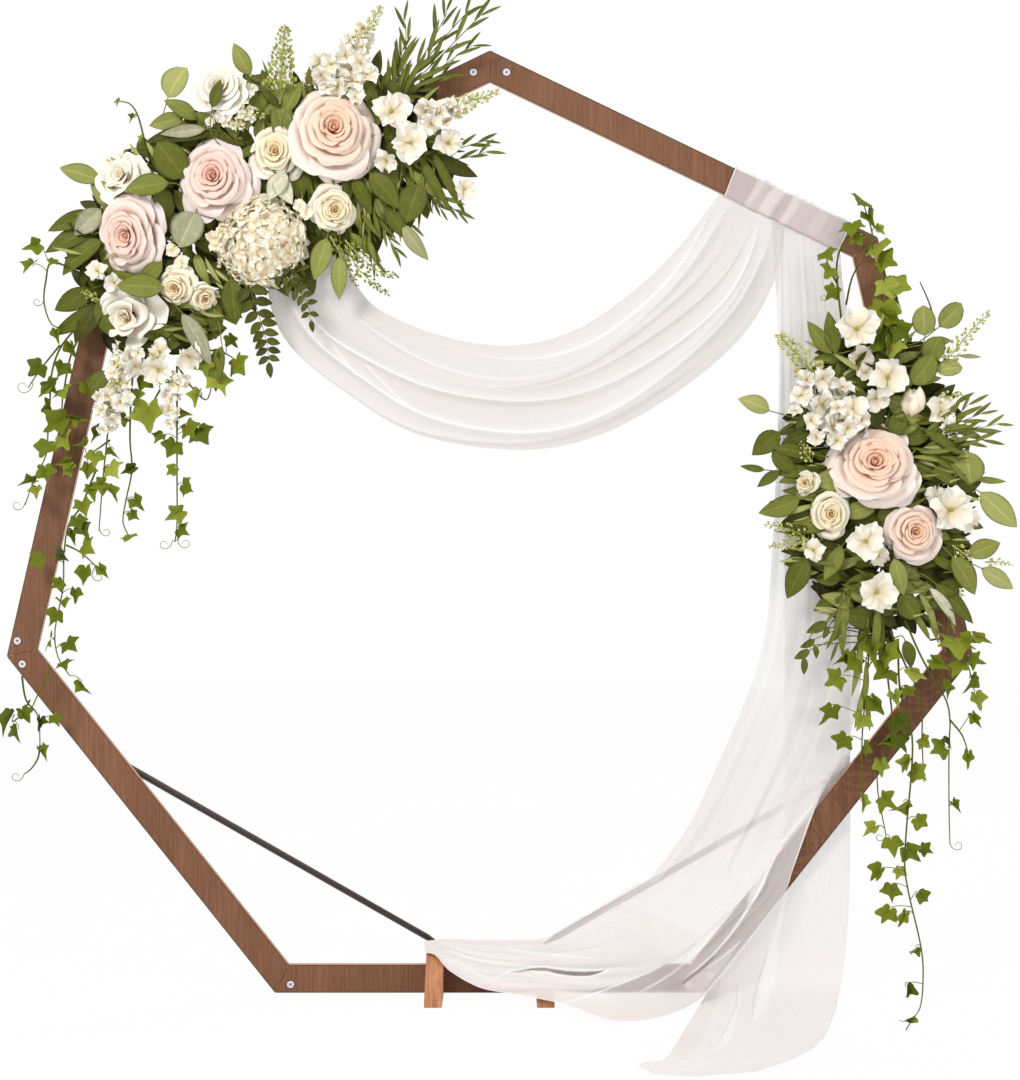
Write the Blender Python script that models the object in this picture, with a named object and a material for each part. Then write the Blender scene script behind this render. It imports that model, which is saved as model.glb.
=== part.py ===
"""A seven-sided wooden wedding arch, with two silk flower swags and a chiffon drape.

Metres, +Z up. The origin is the middle of the bottom board's underside, on the floor.
The front of the arch faces -Y, and left and right are as seen from the front.
"""

import math

import bmesh
import bpy
from mathutils import Vector

# Frame: a regular ring of flat boards, which stands on its bottom board
BOARD_COUNT = 7
SIDE_LENGTH = 1.000
BOARD_WIDTH = 0.065
BOARD_THICKNESS = 0.018
BOARD_EDGE = 0.0012
# Play between neighbouring pieces
FIT_GAP = 0.0003

# Steel plates screwed over the mitres at the back
PLATE_REACH = 0.070
PLATE_WIDTH = 0.040
PLATE_THICKNESS = 0.0025

# Feet: wedges on edge, notched over the bottom board
FOOT_SPACING = 0.254
FOOT_WIDTH = 0.040
FOOT_RISE = 0.044
FOOT_FRONT_REACH = 0.145
FOOT_REAR_REACH = 0.440
FOOT_TOE = 0.012
FOOT_HEEL = 0.015
FOOT_CREST = 0.032
FOOT_EDGE = 0.0015

# Brace rods: steel tube, pressed flat where it is screwed on
ROD_DIAMETER = 0.016
ROD_SIDES = 12
ROD_TAB_LENGTH = 0.034
ROD_TAB_WIDTH = 0.022
ROD_TAB_THICKNESS = 0.004
ROD_NECK = 0.030
# Share of the side, from its upper corner
ROD_SEAT_SHARE = 0.312
ROD_HEEL_SETBACK = 0.025

# Chiffon drape
CLOTH_THICKNESS = 0.008
CLOTH_COLUMNS = 9
CLOTH_PLEAT = 0.012
SMALL_PLEAT = 0.006
CLOTH_OFF_BOARD = 0.001
CLOTH_OFF_FLOOR = 0.0005
WRAP_LENGTH = 0.325
WRAP_THICKNESS = 0.004
WRAP_OFF_PLATE = 0.006
FALL_WIDTH = 0.160
FALL_MARGIN = 0.002
TIE_WIDTH = 0.180
TIE_ALONG = 0.410
TIE_OVERLAP = 0.045
TRAIN_OVERLAP = 0.050
HEM_OVER_FOOT = 0.014
HEM_LIFT = 0.045

# Swags: a bed of foliage in two layers with the flower heads on its face
BED_DEPTH = 0.045
BACK_LEAF = 0.085
FRONT_LEAF = 0.055
BACK_LEAVES = 30
FRONT_LEAVES = 26
CURVE_STEPS = 4

# Flower heads and spikes
BLUSH_RADIUS = 0.100
BLUSH_DEPTH = 0.075
SMALL_BLUSH_RADIUS = 0.072
CREAM_RADIUS = 0.055
CREAM_DEPTH = 0.050
HYDRANGEA_RADIUS = 0.105
HYDRANGEA_DEPTH = 0.065
PEONY_RADIUS = 0.072
PEONY_DEPTH = 0.050
HEAD_SIDES = 20
PETAL_LOBE = 0.14
SPIKE_RADIUS = 0.026
BUD_SPIKE_RADIUS = 0.018
SPIKE_SIDES = 10

# Ivy
STEM_WIDTH = 0.006
STEM_THICKNESS = 0.004
STEM_STEPS = 6
BARE_STEPS = 4
STEPS_BETWEEN_LEAVES = 3
IVY_LEAF = 0.036
IVY_SWING = 0.015

CORNER_NAMES = ("top", "upper_left", "left", "bottom_left", "bottom_right", "right", "upper_right")
BOARD_NAMES = (
    "upper_left_board",
    "left_board",
    "lower_left_board",
    "bottom_board",
    "lower_right_board",
    "right_board",
    "upper_right_board",
)
UPPER_LEFT, LOWER_LEFT, LOWER_RIGHT, UPPER_RIGHT = 0, 2, 4, 6

TURN = 2 * math.pi / BOARD_COUNT
MITRE = math.tan(TURN / 2)
RING_RADIUS = SIDE_LENGTH / (2 * math.sin(TURN / 2))
RING_HEIGHT = RING_RADIUS * math.cos(TURN / 2)
BOARD_FACE = BOARD_THICKNESS / 2
BED_BACK = BOARD_FACE + FIT_GAP
BED_FACE = BED_BACK + BED_DEPTH
NOTCH_TOP = BOARD_WIDTH + FIT_GAP
FOOT_HEIGHT = NOTCH_TOP + FOOT_RISE

WOOD = ("board_wood", (0.22, 0.10, 0.05), 0.6, 0.0)
FOOT_WOOD = ("foot_wood", (0.58, 0.24, 0.11), 0.55, 0.0)
STEEL = ("plate_steel", (0.45, 0.45, 0.46), 0.35, 1.0)
ROD_PAINT = ("rod_paint", (0.04, 0.025, 0.02), 0.4, 0.0)
CHIFFON = ("chiffon", (0.87, 0.85, 0.85), 0.8, 0.0)
FOLIAGE = ("foliage", (0.16, 0.28, 0.07), 0.7, 0.0)
IVY = ("ivy", (0.15, 0.33, 0.05), 0.6, 0.0)
BLUSH = ("blush_petals", (0.90, 0.70, 0.62), 0.8, 0.0)
CREAM = ("cream_petals", (0.90, 0.80, 0.60), 0.8, 0.0)
WHITE = ("white_petals", (0.90, 0.90, 0.87), 0.8, 0.0)


def clear_scene():
    for old in list(bpy.data.objects):
        bpy.data.objects.remove(old, do_unlink=True)


def material(finish):
    name, colour, roughness, metallic = finish
    found = bpy.data.materials.get(name)
    if found:
        return found
    made = bpy.data.materials.new(name)
    made.use_nodes = True
    shader = made.node_tree.nodes["Principled BSDF"]
    shader.inputs["Base Color"].default_value = (*colour, 1.0)
    shader.inputs["Roughness"].default_value = roughness
    shader.inputs["Metallic"].default_value = metallic
    return made


def add_object(name, bm, finish, smooth=False):
    """Turns the mesh being built into an object of its own with its finish."""
    bmesh.ops.recalc_face_normals(bm, faces=bm.faces[:])
    mesh = bpy.data.meshes.new(name)
    bm.to_mesh(mesh)
    bm.free()
    mesh.materials.append(material(finish))
    if smooth:
        mesh.shade_smooth()
        mesh.set_sharp_from_angle(angle=math.radians(40))
    made = bpy.data.objects.new(name, mesh)
    bpy.context.scene.collection.objects.link(made)
    return made


def soften(made, width, segments=1):
    bevel = made.modifiers.new("edge", "BEVEL")
    bevel.width = width
    bevel.segments = segments
    bevel.limit_method = "ANGLE"
    bevel.angle_limit = math.radians(30)
    return made


def extruded(name, outline, along, finish):
    """A flat outline of 3-D points, pushed along a vector into a solid."""
    bm = bmesh.new()
    face = bm.faces.new([bm.verts.new(point) for point in outline])
    grown = bmesh.ops.extrude_face_region(bm, geom=[face])
    moved = [item for item in grown["geom"] if isinstance(item, bmesh.types.BMVert)]
    bmesh.ops.translate(bm, verts=moved, vec=along)
    return add_object(name, bm, finish)


def lofted(name, rings, finish, ends_closed=True):
    """Rings of equal count joined side by side, with a face on each end or the last joined to the first."""
    bm = bmesh.new()
    loops = [[bm.verts.new(point) for point in ring] for ring in rings]
    count = len(rings[0])
    pairs = list(zip(loops, loops[1:]))
    if not ends_closed:
        pairs.append((loops[-1], loops[0]))
    for first, second in pairs:
        for i in range(count):
            j = (i + 1) % count
            bm.faces.new((first[i], first[j], second[j], second[i]))
    if ends_closed:
        bm.faces.new(loops[0])
        bm.faces.new(loops[-1])
    return add_object(name, bm, finish, smooth=True)


def corner(index):
    angle = TURN * index
    x = -RING_RADIUS * math.sin(angle)
    z = RING_HEIGHT + RING_RADIUS * math.cos(angle)
    return Vector((x, 0.0, z))


def on_board(index, along, across, y=0.0):
    """A point on a board: along its outer edge from its first corner, and across towards the opening."""
    start, end = corner(index), corner(index + 1)
    direction = (end - start).normalized()
    inward = Vector((-direction.z, 0.0, direction.x))
    point = start + direction * along + inward * across
    point.y = y
    return point


def at(u, v, y=0.0):
    """A point in front view, in shares of a side's length, so that what hangs on the frame follows it."""
    return Vector((u * SIDE_LENGTH, y, v * SIDE_LENGTH))


def frame_boards():
    gap = FIT_GAP / 2 / math.cos(TURN / 2)
    inset = BOARD_WIDTH * MITRE
    for index, name in enumerate(BOARD_NAMES):
        outline = [
            on_board(index, gap, 0.0, BOARD_FACE),
            on_board(index, SIDE_LENGTH - gap, 0.0, BOARD_FACE),
            on_board(index, SIDE_LENGTH - gap - inset, BOARD_WIDTH, BOARD_FACE),
            on_board(index, gap + inset, BOARD_WIDTH, BOARD_FACE),
        ]
        soften(extruded(name, outline, (0.0, -BOARD_THICKNESS, 0.0), WOOD), BOARD_EDGE)


def corner_plates():
    """Angled plates that follow both boards' centre lines across each mitre."""
    near = (BOARD_WIDTH - PLATE_WIDTH) / 2
    far = near + PLATE_WIDTH
    y = BOARD_FACE + FIT_GAP
    for index, name in enumerate(CORNER_NAMES):
        before = index - 1
        outline = [
            on_board(before, SIDE_LENGTH - PLATE_REACH, near, y),
            on_board(before, SIDE_LENGTH - near * MITRE, near, y),
            on_board(index, PLATE_REACH, near, y),
            on_board(index, PLATE_REACH, far, y),
            on_board(index, far * MITRE, far, y),
            on_board(before, SIDE_LENGTH - PLATE_REACH, far, y),
        ]
        extruded(f"{name}_plate", outline, (0.0, PLATE_THICKNESS, 0.0), STEEL)


def foot_slope(y):
    """Height of a foot's top at a distance behind (+) or before (-) the boards' middle."""
    crest = FOOT_CREST / 2
    if abs(y) <= crest:
        return FOOT_HEIGHT
    reach, end = (FOOT_REAR_REACH, FOOT_HEEL) if y > 0 else (FOOT_FRONT_REACH, FOOT_TOE)
    share = (abs(y) - crest) / (reach - crest)
    return FOOT_HEIGHT + (end - FOOT_HEIGHT) * share


def feet():
    notch = BOARD_FACE + FIT_GAP
    crest = FOOT_CREST / 2
    profile = [
        (-FOOT_FRONT_REACH, 0.0),
        (-FOOT_FRONT_REACH, FOOT_TOE),
        (-crest, FOOT_HEIGHT),
        (crest, FOOT_HEIGHT),
        (FOOT_REAR_REACH, FOOT_HEEL),
        (FOOT_REAR_REACH, 0.0),
        (notch, 0.0),
        (notch, NOTCH_TOP),
        (-notch, NOTCH_TOP),
        (-notch, 0.0),
    ]
    for name, side in (("left_foot", -1), ("right_foot", 1)):
        x = side * FOOT_SPACING / 2 - FOOT_WIDTH / 2
        outline = [(x, y, z) for y, z in profile]
        soften(extruded(name, outline, (FOOT_WIDTH, 0.0, 0.0), FOOT_WOOD), FOOT_EDGE)


def rod_ring(centre, wide, thick, half_wide, half_thick, shift=0):
    """A section of the rod, flattened where its two halves differ."""
    ring = []
    for i in range(ROD_SIDES):
        angle = 2 * math.pi * (i + shift + 0.5) / ROD_SIDES
        ring.append(centre + wide * (half_wide * math.cos(angle)) + thick * (half_thick * math.sin(angle)))
    return ring


def brace_rods():
    """Each rod runs from the back of a lower board to the heel of its foot."""
    half_tab = ROD_TAB_LENGTH / 2
    half_wide, half_thick = ROD_TAB_WIDTH / 2, ROD_TAB_THICKNESS / 2
    radius = ROD_DIAMETER / 2
    seat_y = BOARD_FACE + FIT_GAP + half_thick
    heel_y = FOOT_REAR_REACH - ROD_HEEL_SETBACK
    seat = ROD_SEAT_SHARE * SIDE_LENGTH
    fall = Vector((0.0, FOOT_REAR_REACH - FOOT_CREST / 2, FOOT_HEEL - FOOT_HEIGHT)).normalized()
    heel_up = Vector((0.0, -fall.z, fall.y))
    back = Vector((0.0, 1.0, 0.0))
    for name, board, along, side in (
        ("left_brace_rod", LOWER_LEFT, seat, -1),
        ("right_brace_rod", LOWER_RIGHT, SIDE_LENGTH - seat, 1),
    ):
        top = on_board(board, along, BOARD_WIDTH / 2, seat_y)
        heel = Vector((side * FOOT_SPACING / 2, heel_y, foot_slope(heel_y)))
        heel += heel_up * (FIT_GAP + half_thick)
        run = (heel - top).normalized()
        top_run = (run - back * run.dot(back)).normalized()
        heel_run = (run - heel_up * run.dot(heel_up)).normalized()
        top_end = top + top_run * half_tab
        heel_end = heel - heel_run * half_tab
        body_run = (heel_end - top_end).normalized()
        top_wide = back.cross(top_run)
        top_thick = body_run.cross(back.cross(body_run)).normalized()
        heel_wide = heel_up.cross(heel_run)
        heel_thick = body_run.cross(heel_up.cross(body_run)).normalized()
        body_wide = top_thick.cross(body_run)
        end_wide = heel_thick.cross(body_run)
        turned = math.atan2(body_wide.dot(heel_thick), body_wide.dot(end_wide))
        shift = round(turned / (2 * math.pi) * ROD_SIDES)
        rings = [
            rod_ring(top - top_run * half_tab, top_wide, back, half_wide, half_thick),
            rod_ring(top_end, top_wide, back, half_wide, half_thick),
            rod_ring(top_end + body_run * ROD_NECK, body_wide, top_thick, radius, radius),
            rod_ring(heel_end - body_run * ROD_NECK, end_wide, heel_thick, radius, radius, shift),
            rod_ring(heel_end, heel_wide, heel_up, half_wide, half_thick, shift),
            rod_ring(heel + heel_run * half_tab, heel_wide, heel_up, half_wide, half_thick, shift),
        ]
        lofted(name, rings, ROD_PAINT)


def cloth(name, rows):
    """A pleated sheet. A row is its pleats' height, one edge, the middle if it bends, and the other edge."""
    bm = bmesh.new()
    lines = []
    for i, (pleat, *points) in enumerate(rows):
        first, last = points[0], points[-1]
        middle = points[1] if len(points) == 3 else (first + last) / 2
        before, after = rows[max(i - 1, 0)], rows[min(i + 1, len(rows) - 1)]
        down = after[1] + after[-1] - before[1] - before[-1]
        out = (last - first).cross(down).normalized()
        if out.z < out.y:
            out.negate()
        line = []
        for j in range(CLOTH_COLUMNS):
            share = 2 * j / (CLOTH_COLUMNS - 1)
            place = first.lerp(middle, share) if share < 1 else middle.lerp(last, share - 1)
            line.append(bm.verts.new(place + out * (pleat if j % 2 else 0.0)))
        lines.append(line)
    for upper, lower in zip(lines, lines[1:]):
        for i in range(len(upper) - 1):
            bm.faces.new((upper[i], upper[i + 1], lower[i + 1], lower[i]))
    made = add_object(name, bm, CHIFFON, smooth=True)
    thicken = made.modifiers.new("thickness", "SOLIDIFY")
    thicken.thickness = CLOTH_THICKNESS
    thicken.offset = 0.0
    return made


def wrap_span():
    start = PLATE_REACH + WRAP_OFF_PLATE
    return start, start + WRAP_LENGTH


def drape_wrap():
    """The sleeve that the cloth makes where it is thrown over the upper right board."""
    start, end = wrap_span()
    inner = FIT_GAP
    outer = FIT_GAP + WRAP_THICKNESS

    def section(along, off):
        low, high, y = -off, BOARD_WIDTH + off, BOARD_FACE + off
        places = ((low, -y), (high, -y), (high, y), (low, y))
        return [on_board(UPPER_RIGHT, along, across, depth) for across, depth in places]

    rings = [section(start, outer), section(end, outer), section(end, inner), section(start, inner)]
    soften(lofted("drape_wrap", rings, CHIFFON, ends_closed=False), WRAP_THICKNESS / 3)


def drape_swoop():
    """The cloth that hangs across the opening from the back of the upper left board to the wrap."""
    start, end = wrap_span()
    under = BOARD_WIDTH + 2 * FIT_GAP + WRAP_THICKNESS
    behind = BOARD_FACE + FIT_GAP + CLOTH_THICKNESS / 2
    tie = BOARD_WIDTH - TIE_OVERLAP
    left = start + FALL_WIDTH + 2 * FALL_MARGIN
    right = end - FALL_MARGIN
    near = under + CLOTH_THICKNESS
    high, low = TIE_ALONG, TIE_ALONG + TIE_WIDTH
    rows = [
        (0.0, on_board(UPPER_LEFT, high, tie, behind), on_board(UPPER_LEFT, low, tie, behind)),
        (0.0, on_board(UPPER_LEFT, high, near, behind), on_board(UPPER_LEFT, low, near, behind)),
        (SMALL_PLEAT, at(-0.338, 1.670, behind), at(-0.478, 1.530, behind)),
        (CLOTH_PLEAT, at(-0.210, 1.565, behind), at(-0.326, 1.390, behind)),
        (CLOTH_PLEAT, at(-0.070, 1.518, behind / 2), at(-0.163, 1.297, behind / 2)),
        (CLOTH_PLEAT, at(0.070, 1.507), at(0.070, 1.267)),
        (CLOTH_PLEAT, at(0.210, 1.542), at(0.256, 1.297)),
        (CLOTH_PLEAT, at(0.349, 1.635), at(0.442, 1.413)),
        (SMALL_PLEAT, at(0.442, 1.740), at(0.582, 1.553)),
        (0.0, on_board(UPPER_RIGHT, right, near), on_board(UPPER_RIGHT, left, near)),
        (0.0, on_board(UPPER_RIGHT, right, under), on_board(UPPER_RIGHT, left, under)),
    ]
    cloth("drape_swoop", rows)


def over_foot(x, hem):
    """A row of the sheet that crosses a foot's crest and lies on its front slope down to the hem."""
    off = FIT_GAP + CLOTH_THICKNESS / 2
    crest = -FOOT_CREST / 2
    slope = math.atan2(FOOT_HEIGHT - FOOT_TOE, FOOT_FRONT_REACH - FOOT_CREST / 2)
    lift = off / math.cos(slope)
    return (
        0.0,
        Vector((x, -crest - FIT_GAP, FOOT_HEIGHT + lift)),
        Vector((x, crest, FOOT_HEIGHT + lift)),
        Vector((x, hem, foot_slope(hem) + lift)),
    )


def drape_sweep():
    """The cloth that falls from the wrap, crosses in front of the lower boards and ends on the left foot."""
    start, _ = wrap_span()
    under = BOARD_WIDTH + 2 * FIT_GAP + WRAP_THICKNESS
    near = under + CLOTH_THICKNESS
    left, right = start + FALL_WIDTH, start + FALL_MARGIN
    front = -(BOARD_FACE + CLOTH_OFF_BOARD + CLOTH_THICKNESS / 2)
    floor = CLOTH_OFF_FLOOR + CLOTH_THICKNESS
    inner, outer = FOOT_SPACING / 2 - FOOT_WIDTH / 2, FOOT_SPACING / 2 + FOOT_WIDTH / 2
    top = FOOT_HEIGHT + HEM_OVER_FOOT
    toe = -FOOT_FRONT_REACH
    on_toe = FOOT_TOE + 1.5 * CLOTH_THICKNESS

    def lying(u, depth):
        return Vector((u * SIDE_LENGTH, depth * SIDE_LENGTH, floor))

    rows = [
        (0.0, on_board(UPPER_RIGHT, left, under), on_board(UPPER_RIGHT, right, under)),
        (0.0, on_board(UPPER_RIGHT, left, near), on_board(UPPER_RIGHT, right, near)),
        (-SMALL_PLEAT, at(0.676, 1.480), at(0.846, 1.480)),
        (-SMALL_PLEAT, at(0.672, 1.250), at(0.855, 1.250)),
        (-SMALL_PLEAT, at(0.649, 0.913), at(0.870, 0.913)),
        (0.0, at(0.628, 0.800), at(0.862, 0.800)),
        (CLOTH_PLEAT, at(0.603, 0.705, front), at(0.855, 0.690, front)),
        (CLOTH_PLEAT, at(0.522, 0.519, front), at(0.816, 0.543, front)),
        (CLOTH_PLEAT, at(0.464, 0.380, front), at(0.765, 0.450, front)),
        (CLOTH_PLEAT, at(0.371, 0.270, front), at(0.707, 0.288, front)),
        (CLOTH_PLEAT, at(0.306, 0.225, front), at(0.590, 0.130, front)),
        (SMALL_PLEAT, at(0.256, 0.197, front), lying(0.454, -0.109)),
        (SMALL_PLEAT, at(0.215, 0.175, front), lying(0.330, -0.262)),
        (SMALL_PLEAT, at(0.175, 0.152, front), lying(0.244, -0.237)),
        (0.0, Vector((outer, front, top)), Vector((outer, toe, on_toe))),
        (0.0, Vector((inner, front, top)), Vector((inner, toe, on_toe))),
        (0.0, Vector((0.0, front, top)), Vector((0.0, toe * 0.72, HEM_LIFT))),
        over_foot(-inner, toe * 0.45),
        over_foot(-outer, toe * 0.24),
    ]
    cloth("drape_sweep", rows)


def drape_train():
    """The cloth that falls behind, passes under the lower right board and trails on the floor."""
    start, _ = wrap_span()
    left, right = start + FALL_WIDTH, start + FALL_MARGIN
    behind = BOARD_FACE + 2 * FIT_GAP + WRAP_THICKNESS + CLOTH_THICKNESS / 2
    floor = CLOTH_OFF_FLOOR + CLOTH_THICKNESS / 2
    hung, lowest = BOARD_WIDTH - TRAIN_OVERLAP, BOARD_WIDTH

    def lying(u, depth):
        return Vector((u * SIDE_LENGTH, depth * SIDE_LENGTH, floor))

    rows = [
        (0.0, on_board(UPPER_RIGHT, left, hung, behind), on_board(UPPER_RIGHT, right, hung, behind)),
        (0.0, on_board(UPPER_RIGHT, left, lowest, behind), on_board(UPPER_RIGHT, right, lowest, behind)),
        (-SMALL_PLEAT, at(0.684, 1.300, behind), at(0.838, 1.300, behind)),
        (-SMALL_PLEAT, at(0.686, 0.600, behind), at(0.838, 0.600, behind)),
        (-SMALL_PLEAT, at(0.684, 0.240, behind), at(0.836, 0.220, behind)),
        (0.0, at(0.620, 0.080, behind), at(0.830, 0.080, behind / 2)),
        (0.0, lying(0.575, 0.014), at(0.815, 0.016, -0.030 * SIDE_LENGTH)),
        (0.0, lying(0.540, -0.040), lying(0.790, -0.100)),
        (SMALL_PLEAT, lying(0.450, -0.250), lying(0.762, -0.240)),
        (SMALL_PLEAT, lying(0.381, -0.470), lying(0.715, -0.390)),
        (SMALL_PLEAT, lying(0.321, -0.630), lying(0.636, -0.528)),
        (0.0, lying(0.370, -0.668), lying(0.520, -0.655)),
    ]
    cloth("drape_train", rows)


def smooth(points, steps, closed=False):
    """Points on a smooth curve through hand-placed ones."""
    points = [Vector(point) for point in points]
    count = len(points)

    def placed(i):
        return points[i % count] if closed else points[min(max(i, 0), count - 1)]

    curve = []
    for i in range(count if closed else count - 1):
        before, first, second, after = (placed(i + k) for k in (-1, 0, 1, 2))
        for step in range(steps):
            t = step / steps
            curve.append(
                first
                + (second - before) * (t / 2)
                + (2 * before - 5 * first + 4 * second - after) * (t * t / 2)
                + (3 * first - before - 3 * second + after) * (t * t * t / 2)
            )
    return curve if closed else [*curve, points[-1]]


# How leaves differ along a bed: their lengths, and how far their tips lean, as shares of the usual length
LEAF_LENGTHS = (1.0, 0.55, 1.25, 0.8, 1.1, 0.5, 0.9)
LEAF_LEANS = (0.20, -0.35, 0.10, -0.15, 0.40)


def leafy(outline, leaves, leaf, turn):
    """A closed outline cut into a row of pointed leaves."""
    curve = [point * SIDE_LENGTH for point in smooth(outline, CURVE_STEPS, closed=True)]
    count = len(curve)

    def along(share):
        place = share / leaves * count
        whole = math.floor(place)
        return curve[whole % count].lerp(curve[(whole + 1) % count], place - whole)

    points = []
    for i in range(leaves):
        start, middle, end = (along(i + turn + share) for share in (0.0, 0.5, 1.0))
        run = (end - start).normalized()
        out = Vector((-run.y, run.x))
        wide = (end - start).length * 0.42
        length = leaf * LEAF_LENGTHS[i % len(LEAF_LENGTHS)]
        lean = leaf * LEAF_LEANS[i % len(LEAF_LEANS)]
        points += [
            start - out * (0.6 * leaf),
            middle - out * (0.1 * leaf) - run * wide,
            middle + out * (0.5 * length) + run * lean,
            middle - out * (0.1 * leaf) + run * wide,
        ]
    return points


def foliage_bed(name, outline):
    """The leafy bed behind the flowers: long leaves at the back, and shorter ones in front of them."""
    halfway = BED_BACK + BED_DEPTH / 2
    back = [(x, -BED_BACK, z) for x, z in leafy(outline, BACK_LEAVES, BACK_LEAF, 0.0)]
    front = [(x, -halfway, z) for x, z in leafy(outline, FRONT_LEAVES, FRONT_LEAF, 0.5)]
    bed = extruded(name, back, (0.0, -BED_DEPTH * 0.6, 0.0), FOLIAGE)
    upper = extruded(f"{name}_upper", front, (0.0, -BED_DEPTH / 2, 0.0), FOLIAGE)
    upper.hide_render = True
    upper.display_type = "WIRE"
    join = bed.modifiers.new("upper_leaves", "BOOLEAN")
    join.operation = "UNION"
    join.object = upper
    return bed


# Radius and height of each turn of a flower head, as shares of its radius and depth, from the back
ROSE_TIERS = (
    (0.50, 0.00),
    (0.88, 0.18),
    (1.00, 0.42),
    (0.94, 0.52),
    (0.74, 0.42),
    (0.68, 0.72),
    (0.60, 0.80),
    (0.44, 0.68),
    (0.38, 0.95),
    (0.28, 1.00),
    (0.12, 0.86),
)
DOME_TIERS = (
    (0.55, 0.00),
    (0.92, 0.20),
    (1.00, 0.45),
    (0.90, 0.70),
    (0.66, 0.90),
    (0.34, 1.00),
)
# Lobes round a head, and how far each turn's lobes are turned past the last one's
ROSE_LOBES = (5, 1.9)
DOME_LOBES = (10, math.pi)


def flower_head(name, u, v, radius, depth, tiers, lobes, finish):
    centre = at(u, v, -(BED_FACE + FIT_GAP))
    rings = []
    count, turned = lobes
    for level, (share, rise) in enumerate(tiers):
        ring = []
        for i in range(HEAD_SIDES):
            angle = 2 * math.pi * i / HEAD_SIDES
            lobe = 1 - PETAL_LOBE * (1 - math.cos(count * angle + turned * level)) / 2
            reach = radius * share * lobe
            ring.append(centre + Vector((reach * math.cos(angle), -depth * rise, reach * math.sin(angle))))
        rings.append(ring)
    return lofted(name, rings, finish)


def nestle(heads):
    """Where two heads meet, the later one is cut back round the earlier one."""
    for later in range(len(heads)):
        head, place, radius = heads[later]
        for _, other, other_radius in heads[:later]:
            if (place - other).length > radius + other_radius + FIT_GAP:
                continue
            bm = bmesh.new()
            bmesh.ops.create_cone(
                bm,
                cap_ends=True,
                segments=4 * HEAD_SIDES,
                radius1=other_radius + FIT_GAP,
                radius2=other_radius + FIT_GAP,
                depth=6 * other_radius,
            )
            cutter = add_object(f"{head.name}_room", bm, WHITE)
            cutter.rotation_euler = (math.pi / 2, 0.0, 0.0)
            cutter.location = other
            cutter.hide_render = True
            cutter.display_type = "WIRE"
            cut = head.modifiers.new("room", "BOOLEAN")
            cut.operation = "DIFFERENCE"
            cut.object = cutter


def flower_heads():
    rose = (ROSE_TIERS, ROSE_LOBES)
    dome = (DOME_TIERS, DOME_LOBES)
    blush = (BLUSH_RADIUS, BLUSH_DEPTH, *rose, BLUSH)
    small = (SMALL_BLUSH_RADIUS, BLUSH_DEPTH, *rose, BLUSH)
    cream = (CREAM_RADIUS, CREAM_DEPTH, *rose, CREAM)
    hydrangea = (HYDRANGEA_RADIUS, HYDRANGEA_DEPTH, *dome, CREAM)
    peony = (PEONY_RADIUS, PEONY_DEPTH, *rose, WHITE)
    layout = (
        ("left_blush_rose_1", -0.617, 1.871, blush),
        ("left_blush_rose_2", -0.350, 1.971, blush),
        ("left_blush_rose_3", -0.813, 1.750, blush),
        ("left_cream_rose_1", -0.482, 1.932, cream),
        ("left_cream_rose_2", -0.355, 1.805, cream),
        ("left_cream_rose_3", -0.683, 1.627, cream),
        ("left_hydrangea", -0.528, 1.736, hydrangea),
        ("left_peony", -0.813, 1.561, peony),
        ("right_blush_rose_1", 0.876, 1.221, blush),
        ("right_blush_rose_2", 0.960, 1.071, small),
        ("right_cream_rose", 0.780, 1.114, cream),
        ("right_white_rose", 1.056, 1.123, (CREAM_RADIUS, CREAM_DEPTH, *rose, WHITE)),
        ("right_stock_cluster", 0.800, 1.400, (PEONY_RADIUS, PEONY_DEPTH, *dome, WHITE)),
    )
    heads = []
    for name, u, v, (radius, depth, tiers, lobes, finish) in layout:
        made = flower_head(name, u, v, radius, depth, tiers, lobes, finish)
        heads.append((made, at(u, v), radius))
    nestle(heads)


def flower_spike(name, base, tip, widest, finish):
    """A tapering spike of buds whose flat back lies on the bed's face."""
    start, end = at(*base), at(*tip)
    direction = (end - start).normalized()
    side = Vector((-direction.z, 0.0, direction.x))
    back = -(BED_FACE + FIT_GAP)
    rings = []
    for share, width in ((0.0, 0.55), (0.12, 1.0), (0.45, 0.85), (0.75, 0.50), (0.93, 0.28), (1.0, 0.12)):
        centre = start.lerp(end, share)
        radius = widest * width
        ring = []
        for i in range(SPIKE_SIDES):
            angle = math.pi * i / (SPIKE_SIDES - 1)
            point = centre + side * (radius * math.cos(angle))
            point.y = back - radius * math.sin(angle)
            ring.append(point)
        rings.append(ring)
    lofted(name, rings, finish)


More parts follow.
